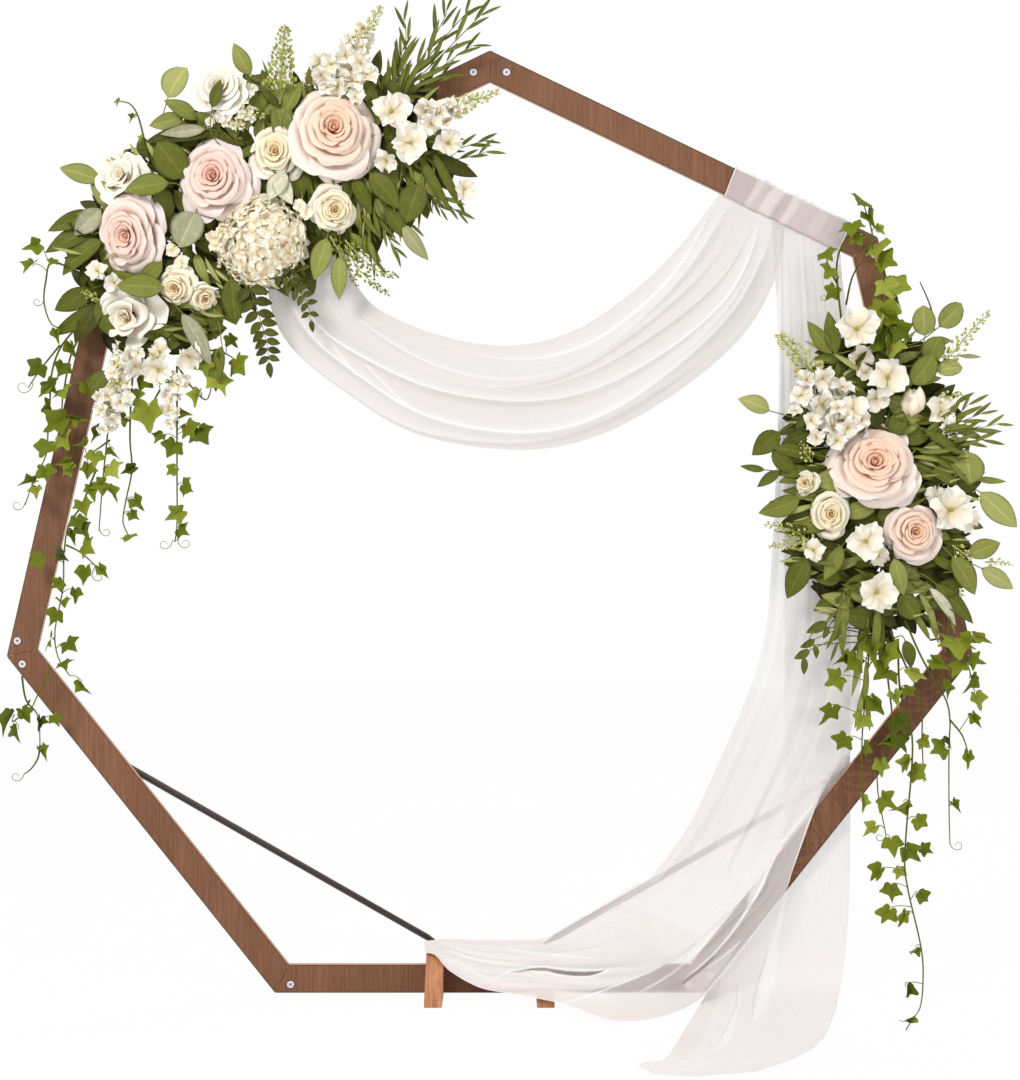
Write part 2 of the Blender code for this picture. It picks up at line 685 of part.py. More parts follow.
def ivy_stem(name, route):
    """A flat stem with leaves to either side in turn, which faces the front where it hangs."""
    lowest = CLOTH_OFF_FLOOR + STEM_THICKNESS / 2
    bm = bmesh.new()

    def placed(point):
        return bm.verts.new((point.x, point.y, max(point.z, lowest)))

    path = smooth(route, STEM_STEPS)
    last = len(path) - 1
    steps = []
    for i, point in enumerate(path):
        run = (path[min(i + 1, last)] - path[max(i - 1, 0)]).normalized()
        facing = Vector((0.0, -abs(run.z), abs(run.y)))
        side = run.cross(facing).normalized()
        half = side * (STEM_WIDTH / 2)
        steps.append((placed(point + half), placed(point - half), run, side))
    for upper, lower in zip(steps, steps[1:]):
        bm.faces.new((upper[0], upper[1], lower[1], lower[0]))
    for count, i in enumerate(range(BARE_STEPS, last, STEPS_BETWEEN_LEAVES)):
        which = count % 2
        upper, lower = steps[i][which], steps[i + 1][which]
        run, side = steps[i][2], steps[i][3] * (1 - 2 * which)
        middle = (upper.co + lower.co) / 2
        leaf = [
            placed(middle + side * (0.40 * IVY_LEAF) - run * (0.50 * IVY_LEAF)),
            placed(middle + side * IVY_LEAF + run * (0.30 * IVY_LEAF)),
            placed(middle + side * (0.45 * IVY_LEAF) + run * (0.55 * IVY_LEAF)),
        ]
        bm.faces.new((upper, *leaf, lower))
    made = add_object(name, bm, IVY)
    thicken = made.modifiers.new("thickness", "SOLIDIFY")
    thicken.thickness = STEM_THICKNESS
    thicken.offset = 0.0
    return made


def left_swag():
    outline = [
        (-0.955, 1.560),
        (-0.935, 1.720),
        (-0.930, 1.840),
        (-0.850, 1.960),
        (-0.740, 2.035),
        (-0.620, 2.110),
        (-0.480, 2.170),
        (-0.340, 2.165),
        (-0.200, 2.100),
        (-0.130, 1.985),
        (-0.150, 1.850),
        (-0.220, 1.710),
        (-0.340, 1.630),
        (-0.480, 1.600),
        (-0.610, 1.545),
        (-0.715, 1.455),
        (-0.850, 1.420),
    ]
    foliage_bed("left_foliage", outline)
    flower_spike("left_stock_spike", (-0.372, 2.105), (-0.246, 2.268), SPIKE_RADIUS, WHITE)
    flower_spike("left_bud_spike", (-0.482, 2.050), (-0.470, 2.225), BUD_SPIKE_RADIUS, FOLIAGE)
    flower_spike("left_delphinium_spike", (-0.215, 2.010), (0.019, 2.069), SPIKE_RADIUS, WHITE)
    front = -(BED_FACE + FIT_GAP + STEM_THICKNESS / 2)
    routes = {
        "left_ivy_inner": (
            (-0.700, 1.540),
            (-0.716, 1.450),
            (-0.722, 1.300),
            (-0.718, 1.150),
            (-0.735, 1.006),
        ),
        "left_ivy_middle": (
            (-0.832, 1.470),
            (-0.838, 1.390),
            (-0.826, 1.250),
            (-0.832, 1.130),
            (-0.850, 1.041),
        ),
        "left_ivy_outer": (
            (-0.905, 1.640),
            (-0.980, 1.560),
            (-1.015, 1.430),
            (-1.040, 1.300),
            (-1.058, 1.191),
        ),
        "left_ivy_long": (
            (-0.880, 1.530),
            (-0.905, 1.460),
            (-0.930, 1.380),
            (-0.950, 1.220),
            (-0.960, 1.090),
            (-0.985, 0.950),
            (-0.996, 0.776),
            (-1.010, 0.650),
        ),
    }
    for name, route in routes.items():
        ivy_stem(name, [at(u, v, front) for u, v in route])


def right_swag():
    outline = [
        (0.785, 1.530),
        (0.900, 1.525),
        (1.010, 1.490),
        (1.085, 1.415),
        (1.140, 1.320),
        (1.165, 1.210),
        (1.165, 1.100),
        (1.130, 0.990),
        (1.050, 0.915),
        (0.940, 0.880),
        (0.850, 0.895),
        (0.762, 0.950),
        (0.675, 1.020),
        (0.625, 1.110),
        (0.610, 1.215),
        (0.630, 1.310),
        (0.660, 1.400),
        (0.715, 1.480),
    ]
    foliage_bed("right_foliage", outline)
    flower_spike("right_bud_spike", (1.030, 1.410), (1.132, 1.560), BUD_SPIKE_RADIUS, FOLIAGE)
    front = -(BED_FACE + FIT_GAP + STEM_THICKNESS / 2)
    ivy_stem(
        "right_ivy_short",
        [
            at(1.040, 0.960, front),
            at(1.022, 0.860, front),
            at(0.999, 0.743, front),
            at(1.045, 0.639, front),
            at(1.052, 0.480, front),
            at(1.052, 0.325, front),
        ],
    )
    swung = front - IVY_SWING
    on_floor = (STEM_THICKNESS / 2 + CLOTH_OFF_FLOOR) / SIDE_LENGTH
    ivy_stem(
        "right_ivy_long",
        [
            at(0.945, 0.930, front),
            at(0.955, 0.800, swung),
            at(0.953, 0.479, swung),
            at(0.969, 0.226, swung),
            at(0.990, 0.080, swung),
            at(0.975, on_floor, -0.150 * SIDE_LENGTH),
            at(0.935, on_floor, -0.237 * SIDE_LENGTH),
            at(0.898, on_floor, -0.302 * SIDE_LENGTH),
        ],
    )


clear_scene()
frame_boards()
corner_plates()
feet()
brace_rods()
drape_wrap()
drape_swoop()
drape_sweep()
drape_train()
left_swag()
right_swag()
flower_heads()
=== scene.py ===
import math

import bmesh
import bpy
import numpy as np
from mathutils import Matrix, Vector


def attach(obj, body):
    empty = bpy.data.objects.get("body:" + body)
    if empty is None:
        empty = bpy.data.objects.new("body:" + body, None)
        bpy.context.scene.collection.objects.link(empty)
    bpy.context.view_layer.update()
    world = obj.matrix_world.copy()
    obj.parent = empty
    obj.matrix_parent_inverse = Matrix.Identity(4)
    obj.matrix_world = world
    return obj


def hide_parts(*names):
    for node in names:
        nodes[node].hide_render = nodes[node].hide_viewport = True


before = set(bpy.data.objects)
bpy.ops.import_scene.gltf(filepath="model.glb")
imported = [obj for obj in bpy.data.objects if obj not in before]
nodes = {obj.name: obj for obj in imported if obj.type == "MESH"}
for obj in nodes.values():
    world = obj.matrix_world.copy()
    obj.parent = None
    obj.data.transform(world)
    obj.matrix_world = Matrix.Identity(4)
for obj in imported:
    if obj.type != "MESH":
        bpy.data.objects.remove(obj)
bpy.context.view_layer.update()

# Seven boards
# Planed pine 65 by 18 mm, stained a matt brown on the faces. The sawn inner edges are paler, and a dark
# line of painted shade runs along the arrises; the outer sawn edges are painted dark as shade too. The boards are
# mitred and screwed together at the corners.
SIDE, BOARD_WIDTH, BOARD_THICKNESS, CORNERS = 1.0, 0.065, 0.018, 7
BOARD_FACE = BOARD_THICKNESS / 2
TURN = 2 * math.pi / CORNERS
RING_RADIUS = SIDE / (2 * math.sin(TURN / 2))
APOTHEM = RING_RADIUS * math.cos(TURN / 2)
BOARDS = (
    "upper_left_board",
    "left_board",
    "lower_left_board",
    "bottom_board",
    "lower_right_board",
    "right_board",
    "upper_right_board",
)
STAIN, STAIN_DARK, STAIN_PALE = (0.205, 0.09, 0.044), (0.172, 0.074, 0.035), (0.236, 0.107, 0.054)
KNOTTY = 5
ARRIS_SHADE, SAWN_EDGE, OUTER_EDGE_SHADE = (0.04, 0.017, 0.01), (0.64, 0.355, 0.205), (0.105, 0.046, 0.027)
# How wide the dark line of painted shade along each arris is
OUTER_ARRIS, INNER_ARRIS = 0.0032, 0.001


def new_finish(name):
    """A material with its nodes, links and shader."""
    finish = bpy.data.materials.new(name)
    finish.use_nodes = True
    tree = finish.node_tree
    return finish, tree.nodes, tree.links, tree.nodes["Principled BSDF"]


def sum_node(kit, links, operation, first, second):
    """One sum on two numbers or sockets."""
    made = kit.new("ShaderNodeMath")
    made.operation = operation
    for socket, value in zip(made.inputs, (first, second)):
        if isinstance(value, (int, float)):
            socket.default_value = value
        else:
            links.new(value, socket)
    return made.outputs[0]


def ramp(kit, links, share, *stops):
    """A run of colours along a share from 0 to 1."""
    made = kit.new("ShaderNodeValToRGB")
    links.new(share, made.inputs["Fac"])
    band = made.color_ramp
    while len(band.elements) < len(stops):
        band.elements.new(0.5)
    for element, (place, colour) in zip(band.elements, stops):
        element.position = place
        element.color = (*colour, 1.0)
    return made.outputs["Color"]


def mottle(kit, links, scale, detail=3.0, roughness=0.6, stretch=(1.0, 1.0, 1.0)):
    """Noise in the object's own space, stretched to run with a grain."""
    place = kit.new("ShaderNodeTexCoord")
    shrink = kit.new("ShaderNodeMapping")
    shrink.inputs["Scale"].default_value = stretch
    links.new(place.outputs["Object"], shrink.inputs["Vector"])
    noise = kit.new("ShaderNodeTexNoise")
    noise.inputs["Scale"].default_value = scale
    noise.inputs["Detail"].default_value = detail
    noise.inputs["Roughness"].default_value = roughness
    links.new(shrink.outputs["Vector"], noise.inputs["Vector"])
    return noise.outputs["Fac"]


def blended(kit, links, share, under, over):
    """Two colours mixed by a share."""
    made = kit.new("ShaderNodeMix")
    made.data_type = "RGBA"
    for socket, value in ((made.inputs[0], share), (made.inputs[6], under), (made.inputs[7], over)):
        if isinstance(value, tuple):
            socket.default_value = (*value, 1.0)
        else:
            links.new(value, socket)
    return made.outputs[2]


def multiplied(kit, links, first, second):
    """One colour multiplied by another."""
    made = kit.new("ShaderNodeVectorMath")
    made.operation = "MULTIPLY"
    links.new(first, made.inputs[0])
    links.new(second, made.inputs[1])
    return made.outputs["Vector"]


def reach_along(kit, links, arrow, way):
    """How far an arrow reaches in one direction."""
    made = kit.new("ShaderNodeVectorMath")
    made.operation = "DOT_PRODUCT"
    links.new(arrow, made.inputs[0])
    made.inputs[1].default_value = way
    return made.outputs["Value"]


def roughened(kit, links, shader, height, strength, distance):
    """Relief on a surface."""
    bump = kit.new("ShaderNodeBump")
    bump.inputs["Strength"].default_value = strength
    bump.inputs["Distance"].default_value = distance
    links.new(height, bump.inputs["Height"])
    links.new(bump.outputs["Normal"], shader.inputs["Normal"])


def stained_board(name, outward):
    """Stained pine for one board, whose outer edge faces outward in the front view."""
    finish, kit, links, shader = new_finish(name)
    lines = mottle(kit, links, 230.0, 2.0, 0.5, (1.0, 1.0, 0.035))
    clouds = mottle(kit, links, 6.0, 4.0, stretch=(1.0, 1.0, 0.5))
    knots = mottle(kit, links, 26.0, 3.0, 0.7, (1.0, 1.0, 0.3))
    grain = ramp(kit, links, lines, (0.36, STAIN_DARK), (0.5, STAIN), (0.64, STAIN_PALE))
    worn = ramp(kit, links, clouds, (0.35, (0.86, 0.85, 0.84)), (0.65, (1.1, 1.1, 1.12)))
    tinted = multiplied(kit, links, grain, worn)
    place = kit.new("ShaderNodeTexCoord")
    if name.endswith(str(KNOTTY)):
        # This board shows dark knots with the grain bowed round them
        bowed = kit.new("ShaderNodeTexVoronoi")
        bowed.inputs["Scale"].default_value = 7.5
        bowed.inputs["Randomness"].default_value = 0.9
        stir = mottle(kit, links, 14.0, 2.0)
        swirl = kit.new("ShaderNodeVectorMath")
        swirl.operation = "MULTIPLY_ADD"
        links.new(stir, swirl.inputs[0])
        swirl.inputs[1].default_value = (0.05, 0.05, 0.05)
        links.new(place.outputs["Object"], swirl.inputs[2])
        links.new(swirl.outputs["Vector"], bowed.inputs["Vector"])
        rings = sum_node(kit, links, "MULTIPLY", bowed.outputs["Distance"], 46.0)
        rings = sum_node(kit, links, "SINE", rings, 0.0)
        ringed = ramp(kit, links, rings, (0.0, (0.8, 0.77, 0.74)), (0.7, (1.0, 1.0, 1.0)))
        heart = ramp(
            kit, links, bowed.outputs["Distance"], (0.05, (0.36, 0.32, 0.3)), (0.2, (0.8, 0.77, 0.75)),
            (0.5, (0.98, 0.95, 0.93))
        )
        for shade in (ringed, heart):
            tinted = multiplied(kit, links, tinted, shade)
    # How far a point lies inside the board's outer edge
    reach = reach_along(kit, links, place.outputs["Object"], outward)
    inside = sum_node(kit, links, "SUBTRACT", APOTHEM + outward[2] * APOTHEM, reach)
    wander = sum_node(kit, links, "MULTIPLY", knots, 0.0012)
    inside = sum_node(kit, links, "ADD", inside, wander)
    # Painted shade: a dark line along each arris, standing for the shadow line at the board's edges
    off_outer = sum_node(kit, links, "LESS_THAN", inside, OUTER_ARRIS)
    off_inner = sum_node(kit, links, "GREATER_THAN", inside, BOARD_WIDTH - INNER_ARRIS)
    arris_shade = sum_node(kit, links, "MAXIMUM", off_outer, off_inner)
    arris_shade = sum_node(kit, links, "MULTIPLY", arris_shade, 0.75)
    face = blended(kit, links, arris_shade, tinted, ARRIS_SHADE)
    # The sawn edges: pale towards the opening; on the outside painted dark, as shade
    facing = kit.new("ShaderNodeNewGeometry")
    inward = reach_along(kit, links, facing.outputs["Normal"], tuple(-part for part in outward))
    towards = sum_node(kit, links, "GREATER_THAN", inward, 0.85)
    away = sum_node(kit, links, "LESS_THAN", inward, -0.5)
    sawn = ramp(kit, links, lines, (0.35, (0.52, 0.28, 0.16)), (0.65, SAWN_EDGE))
    colour = blended(kit, links, towards, face, sawn)
    colour = blended(kit, links, away, colour, OUTER_EDGE_SHADE)
    links.new(colour, shader.inputs["Base Color"])
    rough = sum_node(kit, links, "MULTIPLY_ADD", lines, 0.15)
    links.new(rough, shader.inputs["Roughness"])
    rough.node.inputs[2].default_value = 0.52
    shader.inputs["Specular IOR Level"].default_value = 0.3
    roughened(kit, links, shader, lines, 0.35, 0.0006)
    return finish


for index, board in enumerate(BOARDS):
    lean = TURN * (index + 0.5)
    wood = stained_board(f"stained_pine_{index + 1}", (-math.sin(lean), 0.0, math.cos(lean)))
    nodes[board].data.materials[0] = wood


# Corner plates
# Zinc-plated steel, 2.5 mm thick, cut to each corner's angle and screwed to the back of both boards, so
# that the mitres stay closed. The plating has a fine spangle.
def worn_metal(name, scale, detail, dark, pale, smooth, rough, metallic, relief):
    """Metal or paint that is paler and rougher in clouds."""
    finish, kit, links, shader = new_finish(name)
    clouds = mottle(kit, links, scale, detail)
    links.new(ramp(kit, links, clouds, (0.3, dark), (0.7, pale)), shader.inputs["Base Color"])
    links.new(ramp(kit, links, clouds, (0.3, (smooth,) * 3), (0.7, (rough,) * 3)), shader.inputs["Roughness"])
    shader.inputs["Metallic"].default_value = metallic
    roughened(kit, links, shader, clouds, relief, 0.0004)
    return finish


zinc = worn_metal("zinc_plate", 120.0, 3.0, (0.36, 0.36, 0.38), (0.56, 0.56, 0.58), 0.3, 0.46, 1.0, 0.12)
for corner in ("top", "upper_left", "left", "bottom_left", "bottom_right", "right", "upper_right"):
    nodes[f"{corner}_plate"].data.materials[0] = zinc


# Screws
# Socket-headed connector bolts, each with a pale cover cap in a pressed ring on the front, the ring painted
# dark as the shade in the gap round the cap, and a domed nut on the plate behind. The bolts under the swags and the
# drape match those in view.
# Each head from its middle outwards: radius, height and which of its materials the ring out to there has
CAP_PROFILE = (
    (0.0, 0.0006, 2), (0.003, 0.0006, 2), (0.0034, 0.0024, 0), (0.0072, 0.0021, 0), (0.0086, 0.001, 0),
    (0.0089, 0.0004, 1), (0.01, 0.0012, 1), (0.0108, 0.0, 1)
)
NUT_PROFILE = (
    (0.0, 0.0042, 0), (0.0034, 0.0038, 0), (0.0062, 0.0022, 0), (0.0068, 0.001, 0), (0.009, 0.0009, 0),
    (0.0092, 0.0, 0)
)
RING_STEPS = 28


def on_board(index, along, across, y):
    """A point on a board, along its outer edge from its first corner and across towards the opening."""
    start, end = (
        Vector((-RING_RADIUS * math.sin(TURN * i), 0.0, APOTHEM + RING_RADIUS * math.cos(TURN * i)))
        for i in (index, index + 1)
    )
    run = (end - start).normalized()
    place = start + run * along + Vector((-run.z, 0.0, run.x)) * across
    place.y = y
    return place


def turned_head(bm, profile, place, way):
    """A round head turned about a line through the board, which stands out in the way given in y."""
    rings = []
    for radius, height, _ in profile:
        if radius == 0.0:
            rings.append([bm.verts.new(place + Vector((0.0, way * height, 0.0)))])
            continue
        ring = []
        for i in range(RING_STEPS):
            angle = 2 * math.pi * i / RING_STEPS
            across, up = radius * math.cos(angle), radius * math.sin(angle)
            ring.append(bm.verts.new(place + Vector((across, way * height, up))))
        rings.append(ring)
    for inner, outer, (_, _, slot) in zip(rings, rings[1:], profile[1:]):
        for i in range(RING_STEPS):
            j = (i + 1) % RING_STEPS
            corners = (inner[0], outer[i], outer[j]) if len(inner) == 1 else (inner[i], outer[i], outer[j], inner[j])
            bm.faces.new(corners).material_index = slot


def as_piece(name, mesh, finishes, slot, *replaced):
    """Makes a mesh a piece of the arch, with its materials and the nodes it stands for. Its slot is not used."""
    mesh.shade_smooth()
    for finish in finishes:
        mesh.materials.append(finish)
    piece = bpy.data.objects.new(name, mesh)
    bpy.context.scene.collection.objects.link(piece)
    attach(piece, "root")
    if replaced:
        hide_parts(*replaced)
    return piece


def steel_piece(name, bm, *finishes):
    """Turns the heads being built into a piece of the arch."""
    bmesh.ops.recalc_face_normals(bm, faces=bm.faces[:])
    mesh = bpy.data.meshes.new(name)
    bm.to_mesh(mesh)
    bm.free()
    as_piece(name, mesh, finishes, "plate_steel")


def plain_metal(name, dark, pale, metallic, roughness):
    finish, kit, links, shader = new_finish(name)
    scuffs = mottle(kit, links, 400.0, 3.0)
    links.new(ramp(kit, links, scuffs, (0.3, dark), (0.7, pale)), shader.inputs["Base Color"])
    shader.inputs["Metallic"].default_value = metallic
    shader.inputs["Roughness"].default_value = roughness
    roughened(kit, links, shader, scuffs, 0.1, 0.0002)
    return finish


cap_white = plain_metal("cap_white", (0.66, 0.62, 0.66), (0.8, 0.76, 0.78), 0.0, 0.35)
# The ring round each cap is painted near black: painted shade in the gap round the cap
cap_shade_ring = plain_metal("cap_shade_ring", (0.055, 0.028, 0.02), (0.1, 0.05, 0.035), 0.2, 0.45)
cap_socket = plain_metal("cap_socket", (0.16, 0.15, 0.2), (0.24, 0.22, 0.27), 0.6, 0.4)

# Each bolt: its board, how far along and how far across
NEAR, FAR = 0.0175, 0.038
FRONT_BOLTS = [
    (0, 0.057, 0.0294), (6, SIDE - 0.057, 0.0294), (0, SIDE - NEAR - 0.021, NEAR), (1, FAR, NEAR),
    (1, SIDE - 0.0407, 0.0165), (2, 0.0369, 0.0175), (3, 0.0365, 0.0195), (3, SIDE - FAR, NEAR),
    (4, FAR, NEAR), (4, SIDE - FAR, NEAR), (5, FAR, NEAR), (5, SIDE - FAR, NEAR), (6, FAR, NEAR),
]
screws = bmesh.new()
for board, along, across in FRONT_BOLTS:
    turned_head(screws, CAP_PROFILE, on_board(board, along, across, -BOARD_FACE), -1)
steel_piece("bolt_caps", screws, cap_white, cap_shade_ring, cap_socket)
nuts = bmesh.new()
PLATE_BACK = BOARD_FACE + 0.0028
for board in range(CORNERS):
    for along in (0.034, 0.058, SIDE - 0.034, SIDE - 0.058):
        turned_head(nuts, NUT_PROFILE, on_board(board, along, BOARD_WIDTH / 2, PLATE_BACK), 1)
nut_steel = plain_metal("nut_steel", (0.42, 0.42, 0.44), (0.62, 0.62, 0.64), 1.0, 0.32)
steel_piece("plate_nuts", nuts, nut_steel)


# Feet
# Two wedges of unstained pine on edge, notched over the bottom board. The cut shows a warm orange
# with upright grain, and the corners are sanded round.
def bare_pine():
    finish, kit, links, shader = new_finish("bare_pine")
    lines = mottle(kit, links, 260.0, 3.0, 0.55, (1.0, 0.12, 0.05))
    rings = mottle(kit, links, 38.0, 2.0, 0.5, (1.0, 0.4, 0.12))
    fine = ramp(
        kit, links, lines, (0.34, (0.46, 0.18, 0.078)), (0.52, (0.58, 0.25, 0.115)), (0.68, (0.66, 0.305, 0.15))
    )
    bands = ramp(kit, links, rings, (0.38, (0.8, 0.76, 0.72)), (0.6, (1.04, 1.03, 1.02)))
    links.new(multiplied(kit, links, fine, bands), shader.inputs["Base Color"])
    shader.inputs["Roughness"].default_value = 0.58
    roughened(kit, links, shader, lines, 0.3, 0.0005)
    return finish


pine = bare_pine()
for foot in ("left_foot", "right_foot"):
    nodes[foot].data.materials[0] = pine


# Brace rods
# Steel tube 16 mm across, pressed flat and bolted at both ends, in a satin brown-black paint. They run
# from the backs of the lower boards down to the heels of the feet.
painted = worn_metal(
    "rod_paint_finish", 90.0, 4.0, (0.028, 0.016, 0.012), (0.048, 0.028, 0.021), 0.34, 0.48, 0.0, 0.1
)
for rod in ("left_brace_rod", "right_brace_rod"):
    nodes[rod].data.materials[0] = painted


# Drape
# Sheer white chiffon with a fine rolled hem. It is tied behind the upper left board, hangs in a swoop
# across the opening, goes once round the upper right board, and falls in two lengths: one in front of
# the lower boards to the left foot, the other behind them to the floor.
BOARD_BACK, FRONT = 0.0133, -0.015
# Its folds, and later the leaves and flowers, are laid out on a front view of the arch, in squares of
# 2.324 mm from its top left corner. The eye is 4.2 m before the boards, level with the arch's middle.
EYE_X, EYE_Z, EYE_AWAY = 0.0465, 1.0525, 4.2
SQUARE, MIDDLE_ACROSS, MIDDLE_DOWN = 0.002324, 510, 540


def refine(rows, count):
    """More rows on the smooth curve through the given ones, down the first axis of the array."""
    rows = np.asarray(rows, float)
    last = len(rows) - 1
    places = np.linspace(0.0, last, count)
    first = np.clip(np.floor(places).astype(int), 0, last - 1)
    t = (places - first).reshape((-1,) + (1,) * (rows.ndim - 1))
    before, start = rows[np.maximum(first - 1, 0)], rows[first]
    end, after = rows[first + 1], rows[np.minimum(first + 2, last)]
    return start + 0.5 * t * (
        end - before + t * (2 * before - 5 * start + 4 * end - after + t * (3 * (start - end) + after - before))
    )


def pleat(across, middle, width, steep):
    """A soft ridge, which falls away steeply on its far side."""
    off = (across - middle) / width
    away = np.sqrt(off * off + 0.05) - 0.2236
    return np.exp(-away * np.where(off < 0, 1.0, steep))


def ruffle(across, along, seed, scale):
    """Shallow wandering folds that run the length of a cloth."""
    rng = np.random.default_rng(seed)
    total = np.zeros(np.broadcast(across, along).shape)
    for _ in range(7):
        waves, drift, start = rng.uniform(3, 15), rng.uniform(-1.2, 1.2), rng.uniform(0, 6.28)
        total += np.sin(waves * 2 * np.pi * across + drift * 2 * np.pi * along + start) / waves ** 0.6
    return total * scale


def off_line(seen, line):
    """How far each point stands from a line on the front view, and how far along the line that is."""
    best, share = np.full(seen.shape[:2], 1e9), np.zeros(seen.shape[:2])
    for k in range(len(line) - 1):
        start, run = np.array(line[k], float), np.subtract(line[k + 1], line[k])
        t = np.clip(((seen - start) @ run) / (run @ run), 0, 1)
        far = np.linalg.norm(seen - start - t[..., None] * run, axis=-1)
        best, share = np.minimum(best, far), np.where(far < best, (k + t) / (len(line) - 1), share)
    return best, share


def covered(seen, outline):
    """Which points stand inside a closed outline on the front view."""
    inside = np.zeros(seen.shape[:2], bool)
    for (x0, y0), (x1, y1) in zip(outline, outline[1:] + outline[:1]):
        level = seen[..., 1]
        inside ^= ((y0 > level) != (y1 > level)) & (seen[..., 0] < x0 + (level - y0) * (x1 - x0) / (y1 - y0 + 1e-9))
    return inside


def hang(name, guides, wide, long, lift, node, finish, crests=(), patches=()):
    """A cloth on guide rows. lift(across, along) gives its relief in metres, how strongly its creases are painted
    as a highlight, and how many layers of it lie over one another. Crests are folds along lines of the front
    view, each with its strength and width: one of positive strength is painted whiter and denser along its
    line, a painted highlight, and one of negative strength thins the cloth so that the board behind shows as a
    painted shadow line. Patches have other layers: their layers, their crease highlight, how soft their edges
    are, and their outline."""
    grid = refine(guides, long)
    grid = np.swapaxes(refine(np.swapaxes(grid, 0, 1), wide), 0, 1)
    across, along = np.meshgrid(np.linspace(0, 1, wide), np.linspace(0, 1, long))
    out = np.cross(np.gradient(grid, axis=1), np.gradient(grid, axis=0))
    out /= np.linalg.norm(out, axis=2, keepdims=True) + 1e-12
    out *= np.where(out[..., 2:] < out[..., 1:2], -1.0, 1.0)
    relief, crease_highlight, layers = lift(across, along)
    layers = layers + 0 * across
    step = SQUARE * (EYE_AWAY + BOARD_FACE + grid[..., 1]) / EYE_AWAY
    lifted = grid + out * relief[..., None]
    seen_across = MIDDLE_ACROSS + (lifted[..., 0] - EYE_X) / step
    seen = np.stack((seen_across, MIDDLE_DOWN - (lifted[..., 2] - EYE_Z) / step), axis=-1)
    for level, crest_highlight, soft, outline in patches:
        far = off_line(seen, outline + outline[:1])[0]
        share = np.clip(0.5 + np.where(covered(seen, outline), far, -far) / soft, 0, 1)
        layers = layers + (level - layers) * share
        crease_highlight = crease_highlight * (1 - share) + crest_highlight * share
    # Crests of positive strength paint a highlight along their lines; those of negative strength thin the cloth there,
    # so that the board behind shows as a painted shadow line
    for strength, width, line in crests:
        far, share = off_line(seen, line)
        fade = np.clip(np.minimum(share, 1 - share) * 9 + 0.1, 0, 1)
        fold = strength * fade * np.exp(-((far / width) ** 2))
        crease_highlight, layers = crease_highlight + np.maximum(fold, 0), layers + np.minimum(fold, 0)
        relief = relief + 0.0025 * strength * fade * np.exp(-((far / width / 3) ** 2))
    grid = grid + out * relief[..., None]
    faces = [
        (r * wide + c, r * wide + c + 1, (r + 1) * wide + c + 1, (r + 1) * wide + c)
        for r in range(long - 1)
        for c in range(wide - 1)
    ]
    mesh = bpy.data.meshes.new(name)
    mesh.from_pydata(grid.reshape(-1, 3).tolist(), [], faces)
    edge = np.minimum(np.minimum(across, 1 - across) * wide, np.minimum(along, 1 - along) * long)
    hem = np.clip(1.6 - edge, 0.0, 1.0)
    crest_highlight = mesh.attributes.new("crease_highlight", "FLOAT", "POINT")
    crest_highlight.data.foreach_set("value", np.clip(np.maximum(crease_highlight, 0.3 * hem), 0, 1).ravel())
    dense = mesh.attributes.new("layers", "FLOAT", "POINT")
    dense.data.foreach_set("value", np.clip(layers + 1.3 * hem, -1, 1).ravel())
    return as_piece(name, mesh, (finish,), "chiffon", node)


def sheer_chiffon(name, sheer, *tints):
    """Chiffon that stops this share of the light. The tints run up from the floor, over 0.7 m."""
    finish, kit, links, shader = new_finish(name)
    marks = []
    for mark in ("crease_highlight", "layers"):
        found = kit.new("ShaderNodeAttribute")
        found.attribute_name = mark
        marks.append(found.outputs["Fac"])
    crest_highlight, layers = marks
    place = kit.new("ShaderNodeTexCoord")
    parts = kit.new("ShaderNodeSeparateXYZ")
    links.new(place.outputs["Object"], parts.inputs["Vector"])
    low = sum_node(kit, links, "MULTIPLY", parts.outputs["Z"], 1.4)
    tint = ramp(kit, links, low, *tints)
    # Painted highlight: the cloth is painted near white along its creases, where the crease mark is high
    links.new(blended(kit, links, crest_highlight, tint, (0.97, 0.955, 0.945)), shader.inputs["Base Color"])
    clouds = mottle(kit, links, 9.0, 3.0)
    weave = mottle(kit, links, 1500.0, 1.0)
    stopped = sum_node(kit, links, "ADD", sum_node(kit, links, "MULTIPLY", clouds, 0.1), sheer)
    for amount, share in ((weave, 0.08), (crest_highlight, 0.34), (layers, 0.4)):
        stopped = sum_node(kit, links, "ADD", stopped, sum_node(kit, links, "MULTIPLY", amount, share))
    links.new(sum_node(kit, links, "MINIMUM", stopped, 0.97), shader.inputs["Alpha"])
    shader.inputs["Roughness"].default_value = 0.75
    shader.inputs["Specular IOR Level"].default_value = 0.1
    shader.inputs["Sheen Weight"].default_value = 0.2
    shader.inputs["Sheen Roughness"].default_value = 0.4
    roughened(kit, links, shader, weave, 0.15, 0.0003)
    return finish


swoop_chiffon = sheer_chiffon("swoop_chiffon", 0.47, (0.0, (0.68, 0.63, 0.6)), (1.0, (0.68, 0.63, 0.6)))
wrap_chiffon = sheer_chiffon("wrap_chiffon", 0.47, (0.0, (0.86, 0.765, 0.76)), (1.0, (0.86, 0.765, 0.76)))
fall_chiffon = sheer_chiffon(
    "fall_chiffon", 0.46, (0.0, (0.885, 0.795, 0.765)), (0.17, (0.815, 0.768, 0.752)), (0.45, (0.8, 0.752, 0.742)),
    (0.75, (0.775, 0.745, 0.735)), (1.0, (0.8, 0.77, 0.76))
)


def cloth_rows(*rows):
    """Rows of a cloth from their edges, and from the middle where it isn't halfway: across, up and back."""
    made = []
    for row in rows:
        points = [np.array((x, *(back or (0.0,)), z)) for x, z, *back in row]
        first, last = points[0], points[-1]
        middle = points[1] if len(points) == 3 else (first + last) / 2
        made.append([first, (first + middle) / 2, middle, (middle + last) / 2, last])
    return made


